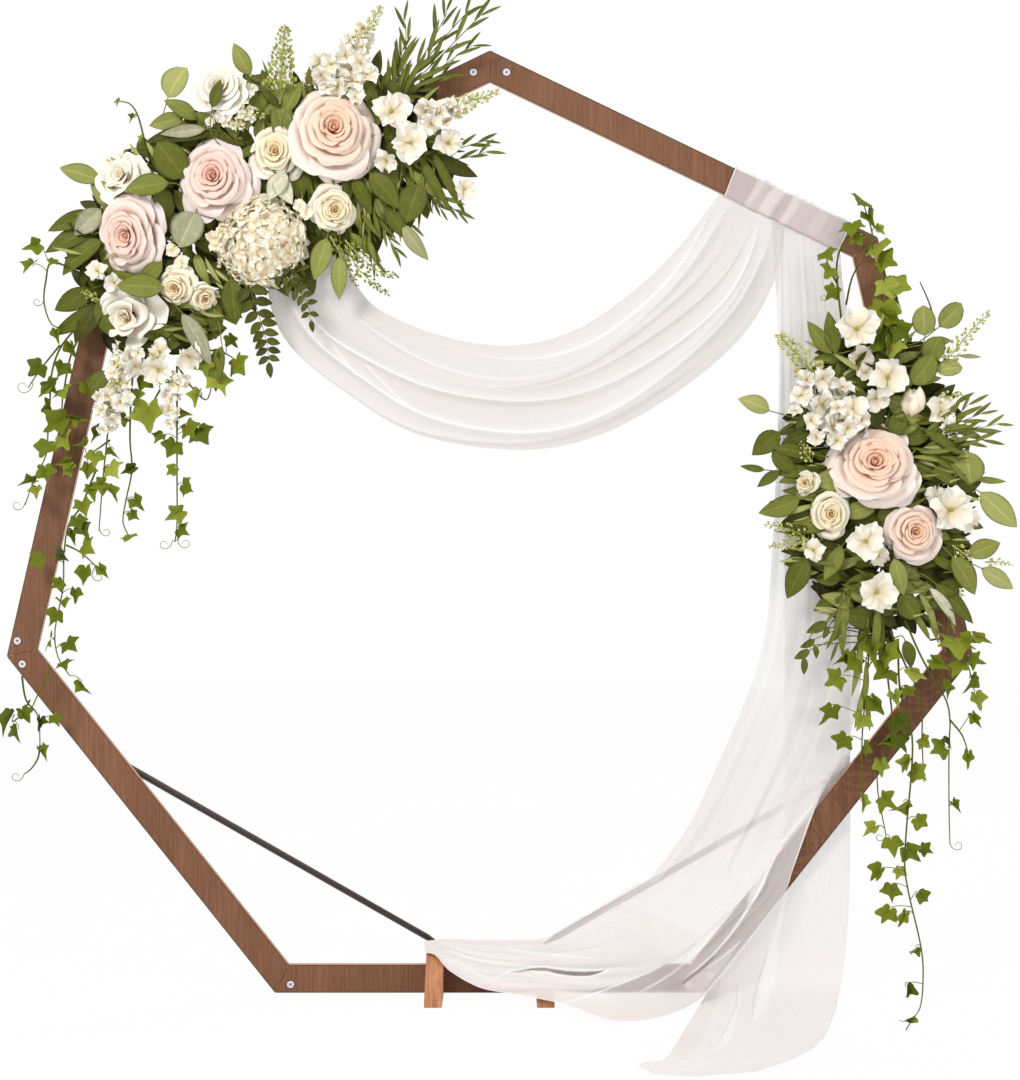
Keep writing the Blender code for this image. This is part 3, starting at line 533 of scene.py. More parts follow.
swoop_guides = cloth_rows(
    ((-0.361, 1.995, BOARD_BACK), (-0.523, 1.917, BOARD_BACK)),
    ((-0.337, 1.947, BOARD_BACK), (-0.5, 1.869, BOARD_BACK)),
    ((-0.345, 1.76, BOARD_BACK), (-0.52, 1.65, BOARD_BACK)),
    ((-0.3, 1.63, 0.01), (-0.47, 1.51, 0.01)),
    ((-0.21, 1.565, 0.008), (-0.326, 1.39, 0.008)),
    ((-0.07, 1.518, 0.004), (-0.163, 1.297, 0.004)),
    ((0.07, 1.507), (0.07, 1.262)),
    ((0.21, 1.547), (0.256, 1.297)),
    ((0.349, 1.645), (0.442, 1.401)),
    ((0.446, 1.742), (0.592, 1.533)),
    ((0.502, 1.815), (0.668, 1.672)),
    ((0.54, 1.868), (0.69, 1.785)),
)
# Each fold: how far down the width, its height, where it starts and ends, how strongly its crest is painted as a
# highlight, and how wide
SWOOP_PLEATS = (
    (0.11, 0.009, 0.42, 1.0, 0.7, 0.06),
    (0.25, 0.016, 0.2, 1.0, 0.45, 0.09),
    (0.37, 0.012, 0.3, 0.9, 0.2, 0.07),
    (0.47, 0.014, 0.48, 1.0, 0.35, 0.06),
    (0.59, 0.022, 0.0, 1.0, 0.8, 0.11),
    (0.7, 0.008, 0.5, 0.9, 0.12, 0.05),
    (0.8, 0.022, 0.04, 1.0, 0.8, 0.1),
    (0.94, 0.008, 0.2, 0.8, 0.45, 0.05),
)


def swoop_relief(across, along):
    relief = ruffle(across, along, 4, 0.0011)
    crease_highlight = np.zeros_like(relief)
    ease = np.clip(np.minimum(along, 1 - along) * 8, 0, 1)
    for middle, height, start, end, highlight_share, wide in SWOOP_PLEATS:
        here = np.clip((along - start) * 5, 0, 1) * np.clip((end - along) * 7 + 0.2, 0, 1)
        bowed = middle + 0.055 * np.sin(3.0 * np.pi * along + 11 * middle)
        bowed = bowed - 0.1 * (0.5 - middle) * np.cos(2 * np.pi * along)
        relief += height * here * pleat(across, bowed, wide, 2.6)
        broken = 0.7 + 0.3 * np.sin(9 * along + 20 * middle)
        # A painted highlight along each pleat's crest: a thin bright line and a softer band beside it
        crease_highlight += here * highlight_share * np.exp(-(((across - bowed) / 0.01) ** 2)) * broken
        crease_highlight += here * highlight_share * 0.35 * np.exp(-(((across - bowed + 0.02) / 0.045) ** 2))
    # Two more painted highlight lines, on folds across the swoop
    for start, end, low, high in ((0.27, 0.36, 0.55, 0.78), (0.36, 0.44, 0.62, 0.8)):
        share = np.clip((along - start) / (end - start), 0, 1)
        line = low + (high - low) * share
        inside = (along > start) & (along < end)
        crease_highlight += np.where(inside, 0.5 * np.exp(-(((across - line) / 0.012) ** 2)), 0)
    layers = 0.22 + 0.42 * np.clip((0.42 - along) * 5, 0, 1) + 0.18 * np.sin(11 * across + 4 * along)
    return relief * ease, crease_highlight * (0.35 + 0.65 * ease), layers


swoop = hang("chiffon_swoop", swoop_guides, 96, 150, swoop_relief, "drape_swoop", swoop_chiffon)

# The sleeve round the board: one turn of cloth, gathered along the board into soft creases
wrap_rings = []
WRAP_STEPS = 84
for i in range(WRAP_STEPS + 1):
    share = i / WRAP_STEPS
    along = 0.068 + 0.3 * share
    puff = 0.001 + 0.0016 * abs(math.sin(9.0 * share + 1.1)) + 0.0012 * abs(math.sin(23.0 * share))
    slant = 0.01 * math.sin(5.0 * share)
    ring = []
    for across, y, bow in (
        (-puff, -0.0105, 0), (0.012, -BOARD_FACE - puff, 1), (0.032, -BOARD_FACE - puff, 1),
        (0.052, -BOARD_FACE - puff, 1),
        (BOARD_WIDTH + puff, -0.0105, 0), (BOARD_WIDTH + puff, 0.0105, 0), (0.052, BOARD_FACE + puff, 1),
        (0.032, BOARD_FACE + puff, 1), (0.012, BOARD_FACE + puff, 1), (-puff, 0.0105, 0), (-puff, -0.0105, 0),
    ):
        ring.append(on_board(6, along + slant * across * 8, across, y))
    wrap_rings.append(ring)


def wrap_relief(across, along):
    bands = np.zeros_like(across)
    lines = np.zeros_like(across)
    for first, last, tilt, strength in (
        (0.02, 0.43, 0.03, 0.26), (0.435, 0.5, 0.02, 0.66), (0.5, 0.585, 0.03, 0.04), (0.585, 0.685, 0.05, 0.7),
        (0.685, 0.765, 0.03, 0.24), (0.765, 0.815, 0.04, 0.52), (0.2, 0.27, 0.02, 0.1),
    ):
        shift = tilt * (across - 0.25) * 2 + 0.006 * np.sin(11 * across + 20 * first)
        inside = 1 / (1 + np.exp(-(along - first - shift) * 150)) - 1 / (1 + np.exp(-(along - last - shift) * 150))
        bands += strength * inside
        # A painted highlight line along the far edge of each band
        lines += strength * 0.18 * np.exp(-(((along - last - shift) / 0.0045) ** 2))
    return np.abs(ruffle(along, across, 8, 0.0006)) + 0.0008 * bands, lines, bands


wrap = hang("chiffon_wrap", wrap_rings, 61, 170, wrap_relief, "drape_wrap", wrap_chiffon)

FLOOR = 0.006
sweep_guides = cloth_rows(
    ((0.666, 1.792), (0.806, 1.724)),
    ((0.672, 1.72), (0.815, 1.69)),
    ((0.674, 1.48), (0.846, 1.48)),
    ((0.668, 1.25), (0.858, 1.25)),
    ((0.65, 0.913), (0.872, 0.913)),
    ((0.632, 0.8, -0.006), (0.866, 0.8, -0.006)),
    ((0.603, 0.705, FRONT), (0.856, 0.69, FRONT)),
    ((0.53, 0.535, FRONT), (0.822, 0.56, FRONT)),
    ((0.464, 0.395, FRONT), (0.765, 0.455, FRONT)),
    ((0.376, 0.274, FRONT), (0.706, 0.3, FRONT - 0.004)),
    ((0.342, 0.255, FRONT), (0.56, 0.255, FRONT - 0.01), (0.68, 0.238, -0.04)),
    ((0.314, 0.239, FRONT), (0.5, 0.208, FRONT - 0.02), (0.623, 0.166, -0.06)),
    ((0.262, 0.207, FRONT), (0.39, 0.14, FRONT - 0.04), (0.506, 0.034, -0.1)),
    ((0.216, 0.181, FRONT), (0.325, 0.12, -0.08), (0.402, FLOOR, -0.215)),
    ((0.17, 0.152, FRONT), (0.235, 0.1, -0.085), (0.278, FLOOR, -0.28)),
    ((0.124, 0.128, FRONT), (0.148, 0.09, -0.08), (0.17, 0.019, -0.19)),
    ((0.06, 0.124, FRONT), (0.06, 0.088, -0.066), (0.066, 0.03, -0.148)),
    ((-0.02, 0.124, FRONT), (-0.024, 0.094, -0.058), (-0.02, 0.04, -0.125)),
    ((-0.09, 0.123, 0.0), (-0.096, 0.11, -0.034), (-0.09, 0.068, -0.085)),
    ((-0.125, 0.12, 0.006), (-0.13, 0.117, -0.016), (-0.125, 0.097, -0.055)),
    ((-0.15, 0.116, 0.012), (-0.154, 0.117, -0.006), (-0.149, 0.101, -0.045)),
)
SWEEP_PLEATS = (
    (0.16, 0.05, 0.3, 1.0, 0.01),
    (0.34, 0.04, 0.62, 1.0, 0.014),
    (0.5, 0.055, 0.25, 0.66, 0.009),
    (0.62, 0.035, 0.42, 0.92, 0.013),
    (0.74, 0.04, 0.38, 1.0, 0.016),
    (0.88, 0.035, 0.44, 0.86, 0.012),
)


def sweep_relief(across, along):
    hung = np.clip((0.3 - along) * 8, 0, 1)
    ease = np.clip(along * 14, 0, 1) * np.clip((1 - along) * 9, 0.1, 1)
    relief = ruffle(across, along * 0.5, 12, 0.001) * (1 - 0.3 * hung)
    gathers = np.sin(2 * np.pi * (8 * across + 0.8 * along)) + 0.8 * np.sin(2 * np.pi * (13.3 * across ** 1.2 - along))
    relief += 0.0005 * hung * gathers
    # The ridges of the gathers are painted brighter, a painted highlight
    crease_highlight = 0.22 * hung * np.clip(gathers - 1.0, 0, 1)
    for middle, width, start, end, height in SWEEP_PLEATS:
        here = np.clip((along - start) * 7, 0, 1) * np.clip((end - along) * 10 + 0.15, 0, 1)
        bowed = middle + 0.07 * np.sin(2.2 * np.pi * along + 7 * middle)
        relief += 0.7 * height * here * pleat(across, bowed, width, 2.0) * (1 - 0.8 * hung)
    relief = relief * ease
    layers = 0.12 + 0.3 * np.clip((along - 0.84) * 9, 0, 1)
    return np.where(hung > 0, np.clip(relief, -0.004, 0.0052), relief), crease_highlight, layers


# Where the lower boards show through one layer between the folds, and where more layers hide them
SWEEP_PATCHES = (
    (0.44, 0.03, 4, (
        (548, 946), (563, 942), (598, 925), (654, 888), (720, 851), (745, 838), (740, 826), (716, 838), (652, 876),
        (596, 914), (560, 933), (546, 941),
    )),
    (0.66, 0.05, 14, (
        (740, 700), (830, 690), (826, 770), (806, 815), (784, 838), (770, 842), (690, 850), (640, 905)
    )),
    (0.8, 0.1, 4, ((772, 790), (818, 770), (822, 785), (806, 812), (780, 838), (770, 835))),
    (1.0, 0.1, 2, (
        (400, 880), (530, 890), (545, 945), (563, 940), (584, 932.5), (605, 921.5), (626, 909), (641, 906),
        (660, 917), (700, 935), (683, 961), (670, 961), (655, 968), (635, 978), (616, 986), (590, 990), (540, 988),
        (400, 1000)
    )),
    (0.76, 0.05, 5, ((400, 990), (560, 988), (590, 992), (720, 992), (716, 1040), (400, 1040))),
    (0.62, 0.25, 3, (
        (786, 838), (779, 848), (771, 866), (763, 882), (752, 902), (742, 917), (747, 902), (750, 886), (764, 866)
    )),
    (0.3, 0.15, 3, (
        (740, 941), (722, 957), (697, 974), (683, 985), (690, 993), (704, 991), (716, 976), (727, 962)
    )),
    (-0.6, 0.0, 1, (
        (509, 972.6), (520, 970.4), (532, 968.2), (544, 967.6), (555, 969.3), (567, 971.0), (578, 971.6),
        (590, 971.6), (607, 970.6),
        (598, 974.0), (588, 975.8), (574, 976.2), (559, 973.6), (547, 970.4), (532, 969.6), (520, 971.6),
    )),
)
SWEEP_CRESTS = (
    (0.95, 1.1, ((816, 806), (809, 821), (802, 842), (794, 866), (788, 888))),
    (0.95, 1.2, (
        (819, 797), (797, 824), (779, 846.5), (771, 864), (763.5, 881), (752.5, 901), (741.5, 918), (730, 934),
        (714, 953), (697, 968), (681, 981)
    )),
    (0.8, 1.0, ((639, 992), (655, 984), (670, 974.5), (681, 965.5), (697, 950), (714, 930))),
    (0.85, 0.9, ((556, 1003), (572, 1001), (593, 994.5), (616, 986), (635.5, 978), (655, 969), (668, 962.5))),
    (0.6, 0.9, ((742, 940), (731, 950), (721, 958), (706, 969))),
    # A painted shadow line: the cloth is thinned so that the board shows dark below the bright crest above
    (-0.9, 0.8, ((716, 955), (704, 966), (692, 976), (681, 984.5))),
    (0.85, 0.7, (
        (488, 980), (500, 976), (509, 971.6), (532, 966.8), (544, 966.2), (556, 968.0), (568, 969.8), (590, 970.2),
        (608, 969.6), (622, 966)
    )),
    (0.95, 0.8, ((524, 973), (547, 973.2), (560, 975.8), (575, 977.4), (590, 977.0), (604, 973.0), (610, 970))),
    (0.45, 1.6, ((459, 963), (476, 973), (490, 979.5), (509, 978.5), (532, 980.5), (560, 983), (590, 983))),
    (0.5, 1.4, ((505, 949), (517, 951), (540, 953.5), (570, 956.5), (600, 960))),
    (0.35, 1.8, ((440, 950), (470, 958), (500, 962), (530, 963))),
)

sweep = hang(
    "chiffon_sweep", sweep_guides, 170, 515, sweep_relief, "drape_sweep", fall_chiffon, SWEEP_CRESTS, SWEEP_PATCHES
)

TRAIN_BACK = 0.0185
train_guides = cloth_rows(
    ((0.64, 1.85, TRAIN_BACK), (0.8, 1.775, TRAIN_BACK)),
    ((0.66, 1.78, TRAIN_BACK), (0.82, 1.715, TRAIN_BACK)),
    ((0.684, 1.3, TRAIN_BACK), (0.838, 1.3, TRAIN_BACK)),
    ((0.69, 0.9, TRAIN_BACK), (0.842, 0.9, TRAIN_BACK)),
    ((0.69, 0.6, TRAIN_BACK), (0.842, 0.6, TRAIN_BACK)),
    ((0.69, 0.42, TRAIN_BACK), (0.842, 0.36, TRAIN_BACK)),
    ((0.668, 0.24, TRAIN_BACK), (0.838, 0.2, 0.014)),
    ((0.59, 0.11, TRAIN_BACK), (0.828, 0.085, 0.008)),
    ((0.53, 0.03, 0.01), (0.815, 0.022, -0.012)),
    ((0.499, FLOOR, -0.045), (0.79, FLOOR, -0.105)),
    ((0.468, FLOOR, -0.165), (0.77, FLOOR, -0.19)),
    ((0.432, FLOOR, -0.3), (0.742, FLOOR, -0.29)),
    ((0.393, FLOOR, -0.45), (0.709, FLOOR, -0.4)),
    ((0.358, FLOOR, -0.565), (0.5, FLOOR, -0.565), (0.66, FLOOR, -0.505)),
    ((0.304, FLOOR, -0.602), (0.43, FLOOR, -0.64), (0.594, FLOOR, -0.59)),
    ((0.328, FLOOR, -0.664), (0.405, FLOOR, -0.682), (0.528, FLOOR, -0.652)),
)
TRAIN_PLEATS = (
    (0.18, 0.045, 0.42, 0.95, 0.014),
    (0.36, 0.05, 0.46, 0.98, 0.018),
    (0.55, 0.05, 0.4, 0.9, 0.014),
    (0.72, 0.045, 0.5, 1.0, 0.014),
    (0.9, 0.04, 0.3, 0.97, 0.01),
)


def train_relief(across, along):
    hung = np.clip((0.5 - along) * 6, 0, 1)
    lying = np.clip((along - 0.56) * 8, 0, 1)
    ease = np.clip(along * 14, 0, 1) * np.clip((1 - along) * 14, 0, 1)
    relief = ruffle(across, along * 0.4, 21, 0.00035)
    gathers = np.sin(2 * np.pi * (5 * across - 0.5 * along)) + 0.7 * np.sin(2 * np.pi * (11.7 * across ** 0.8 + along))
    relief += 0.0004 * hung * gathers
    # The ridges of the gathers are painted a little brighter, a painted highlight
    crease_highlight = 0.04 * hung * np.clip(gathers - 1.0, 0, 1)
    for middle, width, start, end, height in TRAIN_PLEATS:
        here = np.clip((along - start) * 7, 0, 1) * np.clip((end - along) * 8 + 0.1, 0, 1)
        bowed = middle + 0.06 * np.sin(2.6 * np.pi * along + 5 * middle)
        relief += 0.45 * height * here * lying * pleat(across, bowed, width, 1.4)
    relief = relief * ease
    relief = np.where(hung > 0, np.clip(relief, -0.006, 0.001), relief)
    layers = 0.25 * np.clip((along - 0.9) * 8, 0, 1) - 0.04
    return np.where(lying > 0.3, np.maximum(relief, -0.003), relief), crease_highlight, layers


TRAIN_PATCHES = (
    (0.95, 0.05, 3, ((816, 806), (828, 772), (856, 744), (866, 758), (852, 782), (832, 806))),
    (-0.8, 0.55, 2.5, (
        (785, 889), (781, 910), (776, 930), (770, 945), (766, 960), (762, 980), (756, 1003), (752, 1023),
        (757, 1019), (767, 1004), (774, 985), (778, 958), (779, 938), (783, 915), (787, 890),
    )),
    (-0.7, 0.5, 3, (
        (740, 980), (737, 994), (728, 1018), (715, 1045), (709, 1053), (724, 1048), (732, 1036), (736, 1018),
        (741, 999),
    )),
    (0.35, 0.05, 5, ((690, 1005), (716, 975), (722, 985), (712, 1015), (698, 1048), (680, 1058), (670, 1050))),
    (0.85, 0.0, 0.8, (
        (767.5, 951), (764.2, 966), (760.6, 975), (757.8, 986), (755.0, 999), (752.8, 1016), (751.0, 1016),
        (753.2, 999), (756.0, 986), (759.0, 975), (762.8, 966), (766.5, 951)
    )),
    (0.55, 0.0, 0.8, (
        (738.5, 986), (736.8, 1006), (729.4, 1023), (722.0, 1038), (713.5, 1050), (712.0, 1050), (720.4, 1037),
        (727.6, 1022), (735.0, 1006), (737.0, 986)
    )),
)
TRAIN_CRESTS = (
    (0.5, 0.9, ((640, 1062), (660, 1062.5), (682, 1061.5), (698, 1058), (712, 1052), (730, 1046))),
    (0.35, 1.0, ((666, 1056), (690, 1010), (706, 985))),
    # A faint painted shadow line, where the cloth is thinned
    (-0.12, 1.2, ((766, 948), (762, 968), (758.5, 986), (753, 1006), (750, 1024))),
)
train = hang(
    "chiffon_train", train_guides, 130, 300, train_relief, "drape_train", fall_chiffon, TRAIN_CRESTS, TRAIN_PATCHES
)

# Leaves of the swags
# Silk leaves with a pressed midrib, on thin wires that are bound to a stem along each swag. Dark ones
# lie flat against the boards, and the plain leaves far back are painted near black as shade among the leaves. Lighter
# olive, sage and gum leaves stand out round the flowers.
FLOOR_PLAY = 0.004
FORWARD = np.array((0.0, -1.0, 0.0))


def spot(across, down, forward=BOARD_FACE):
    """The place that shows at these squares, this far before the middle of the boards or on the floor."""
    if down > MIDDLE_DOWN:
        furthest = (EYE_Z - FLOOR_PLAY) * EYE_AWAY / ((down - MIDDLE_DOWN) * SQUARE)
        forward = max(forward, EYE_AWAY + BOARD_FACE - furthest)
    step = SQUARE * (EYE_AWAY - forward + BOARD_FACE) / EYE_AWAY
    return Vector((EYE_X + (across - MIDDLE_ACROSS) * step, -forward, EYE_Z - (down - MIDDLE_DOWN) * step))


class Bunch:
    """Many small curved sheets that make one piece, with how each point lies on its own sheet."""

    def __init__(self):
        self.points, self.faces, self.total = [], [], 0
        self.marks = {"tone": [], "across": [], "along": []}

    def add(self, grid, tone):
        rows, columns = grid.shape[:2]
        grid[..., 2] = np.maximum(grid[..., 2], 0.002)
        first = self.total + np.arange(rows * columns).reshape(rows, columns)
        quads = np.stack((first[:-1, :-1], first[:-1, 1:], first[1:, 1:], first[1:, :-1]), axis=-1)
        self.faces.extend(quads.reshape(-1, 4).tolist())
        self.points.append(grid.reshape(-1, 3))
        across, along = np.meshgrid(np.linspace(-1, 1, columns), np.linspace(0, 1, rows))
        for mark, value in (("tone", tone), ("across", across), ("along", along)):
            self.marks[mark].append(np.broadcast_to(value, (rows, columns)).ravel())
        self.total += rows * columns

    def made(self, name, finish, slot, *replaced):
        mesh = bpy.data.meshes.new(name)
        mesh.from_pydata(np.concatenate(self.points).tolist(), [], self.faces)
        for mark, values in self.marks.items():
            mesh.attributes.new(mark, "FLOAT", "POINT").data.foreach_set("value", np.concatenate(values))
        as_piece(name, mesh, (finish,), slot, *replaced)


def unit(vector):
    vector = np.asarray(vector, float)
    return vector / (np.linalg.norm(vector, axis=-1, keepdims=True) + 1e-12)


def leaf(bunch, base, tip, width, tone, plump=0.85, lean=0.85, fold=0.22, roll=0.0, bow=0.08):
    """A leaf from base to tip. width is a share of its length, and lean below 1 puts its widest part low."""
    base, tip = np.array(base), np.array(tip)
    length = np.linalg.norm(tip - base)
    ahead = (tip - base) / length
    toward = unit(FORWARD - ahead * -ahead[1])
    side = np.cross(ahead, toward)
    toward, side = toward * math.cos(roll) + side * math.sin(roll), side * math.cos(roll) - toward * math.sin(roll)
    t, s = np.linspace(0, 1, 9)[:, None], np.linspace(-1, 1, 7)[None, :]
    half = 0.5 * width * length * np.sin(np.pi * t ** lean) ** plump
    rise = np.abs(s) * half * math.sin(fold) + bow * length * (np.sin(np.pi * t) - 0.9 * t * t)
    grid = base + ahead * (t * length + 0 * s)[..., None] + side * (s * half * math.cos(fold))[..., None]
    bunch.add(grid + toward * rise[..., None], tone)


def stalk(bunch, points, thick, tone, sides=6, ends=0.5):
    """A round stem through the points, thinner at its far end."""
    points = refine([tuple(point) for point in points], max(5, 4 * len(points) - 3))
    run = unit(np.gradient(points, axis=0))
    side = unit(np.cross(run, (0.0, -1.0, 0.02)))
    out = np.cross(side, run)
    around = np.linspace(0, 2 * np.pi, sides + 1)
    radius = thick / 2 * np.linspace(1, ends, len(points))[:, None, None]
    ring = side[:, None] * np.cos(around)[None, :, None] + out[:, None] * np.sin(around)[None, :, None]
    bunch.add(points[:, None] + ring * radius, tone)


def marked(kit, name):
    mark = kit.new("ShaderNodeAttribute")
    mark.attribute_name = name
    return mark.outputs["Fac"]


def wavering(kit, links, scale, waver, tones):
    """The colour at each sheet's own tone, a little lighter and darker in clouds."""
    drift = sum_node(kit, links, "MULTIPLY", mottle(kit, links, scale, 3.0), waver)
    tone = sum_node(kit, links, "ADD", marked(kit, "tone"), drift)
    return ramp(kit, links, sum_node(kit, links, "SUBTRACT", tone, waver / 2), *tones)


def leaf_finish(name, *tones, rim=0.55):
    """A pressed leaf: coloured by its tone, with a darker rim and a paler midrib."""
    finish, kit, links, shader = new_finish(name)
    colour = wavering(kit, links, 60.0, 0.16, tones)
    off = sum_node(kit, links, "ABSOLUTE", marked(kit, "across"), 0.0)
    edge = ramp(kit, links, off, (0.8, (1.0, 1.0, 1.0)), (0.94, (rim, rim * 1.05, rim * 0.9)))
    rib = ramp(kit, links, off, (0.03, (1.35, 1.32, 1.25)), (0.1, (1.0, 1.0, 1.0)))
    shade = multiplied(kit, links, colour, edge)
    links.new(multiplied(kit, links, shade, rib), shader.inputs["Base Color"])
    # Side veins, pressed in
    slant = sum_node(kit, links, "MULTIPLY", off, -0.25)
    slant = sum_node(kit, links, "ADD", slant, marked(kit, "along"))
    slant = sum_node(kit, links, "MULTIPLY", slant, 52.0)
    veins = sum_node(kit, links, "SINE", slant, 0.0)
    roughened(kit, links, shader, veins, 0.25, 0.0006)
    shader.inputs["Roughness"].default_value = 0.5
    shader.inputs["Specular IOR Level"].default_value = 0.14
    return finish


silk_leaf = leaf_finish(
    "silk_leaf",
    (0.0, (0.03, 0.03, 0.004)),
    (0.12, (0.064, 0.068, 0.008)),
    (0.25, (0.115, 0.13, 0.017)),
    (0.42, (0.185, 0.206, 0.038)),
    (0.56, (0.275, 0.292, 0.077)),
    (0.74, (0.385, 0.396, 0.13)),
    (0.88, (0.345, 0.33, 0.205)),
    (1.0, (0.68, 0.65, 0.49)),
)
DARK, DEEP, MID, OLIVE, LIGHT, SAGE, PALE = 0.1, 0.25, 0.42, 0.56, 0.74, 0.88, 0.97

# Each: base and tip in squares, width share, how far forward at the base and at the tip, tone
LEFT_LEAVES = (
    (168, 98, 186, 67, 0.85, 0.05, 0.06, LIGHT), (251, 75, 233, 43, 0.52, 0.05, 0.06, OLIVE),
    (212, 108, 221, 79, 0.42, 0.105, 0.112, DEEP), (275, 82, 249, 77, 0.4, 0.05, 0.06, DEEP),
    (285, 112, 302, 81, 0.52, 0.09, 0.1, MID), (310, 90, 309, 66, 0.3, 0.08, 0.09, DEEP),
    (197, 120, 164, 99, 0.46, 0.07, 0.08, MID), (184, 117, 149, 126, 0.5, 0.07, 0.08, OLIVE),
    (217, 127, 195, 112, 0.48, 0.08, 0.086, DEEP), (206, 129, 160, 134, 0.3, 0.08, 0.086, SAGE),
    (215, 134, 143, 140, 0.26, 0.07, 0.07, DARK), (185, 178, 157, 142, 0.8, 0.08, 0.1, DEEP),
    (169, 183, 124, 190, 0.56, 0.105, 0.115, MID), (101, 181, 59, 167, 0.48, 0.06, 0.06, OLIVE),
    (95, 212, 47, 231, 0.34, 0.06, 0.055, DEEP), (101, 209, 74, 235, 0.62, 0.075, 0.07, SAGE),
    (99, 228, 44, 252, 0.38, 0.055, 0.05, DEEP), (103, 240, 60, 274, 0.44, 0.065, 0.055, DEEP),
    (92, 256, 81, 288, 0.4, 0.05, 0.045, DARK), (92, 289, 54, 311, 0.5, 0.065, 0.06, DEEP),
    (108, 302, 50, 337, 0.26, 0.06, 0.05, DEEP), (103, 304, 73, 342, 0.56, 0.07, 0.06, DARK),
    (98, 300, 115, 340, 0.46, 0.075, 0.08, DEEP), (164, 288, 116, 285, 0.56, 0.106, 0.116, MID),
    (162, 262, 138, 288, 0.5, 0.08, 0.095, MID), (196, 212, 179, 247, 0.88, 0.09, 0.1, SAGE),
    (182, 313, 212, 366, 0.32, 0.09, 0.085, SAGE), (231, 278, 236, 325, 0.52, 0.07, 0.06, DEEP),
    (327, 238, 314, 280, 0.5, 0.075, 0.07, OLIVE), (340, 256, 339, 300, 0.4, 0.075, 0.07, OLIVE),
    (403, 224, 428, 261, 0.38, 0.065, 0.05, 0.8), (420, 184, 406, 222, 0.78, 0.075, 0.08, DEEP),
    (370, 173, 400, 209, 0.5, 0.08, 0.085, DEEP), (386, 206, 408, 240, 0.44, 0.065, 0.06, DEEP),
    (434, 158, 478, 177, 0.34, 0.065, 0.055, DARK), (373, 84, 380, 49, 0.36, 0.06, 0.065, DARK),
    (381, 90, 392, 66, 0.3, 0.06, 0.06, DEEP), (205, 322, 192, 345, 0.5, 0.06, 0.06, DEEP),
    (214, 300, 216, 340, 0.42, 0.06, 0.05, DEEP), (222, 346, 214, 392, 0.44, 0.07, 0.06, 0.33),
    (352, 178, 372, 214, 0.4, 0.07, 0.07, DEEP), (286, 172, 268, 200, 0.66, 0.09, 0.1, PALE),
    (276, 176, 292, 204, 0.56, 0.088, 0.1, PALE), (150, 250, 128, 262, 0.5, 0.07, 0.08, DARK),
    (240, 130, 262, 108, 0.45, 0.08, 0.08, DEEP), (350, 232, 380, 262, 0.22, 0.06, 0.05, MID),
    (410, 170, 440, 200, 0.26, 0.07, 0.06, MID), (418, 152, 452, 214, 0.15, 0.07, 0.06, DEEP),
    (110, 372, 86, 396, 0.62, 0.07, 0.07, DEEP), (432, 150, 466, 216, 0.14, 0.065, 0.055, DEEP),
)
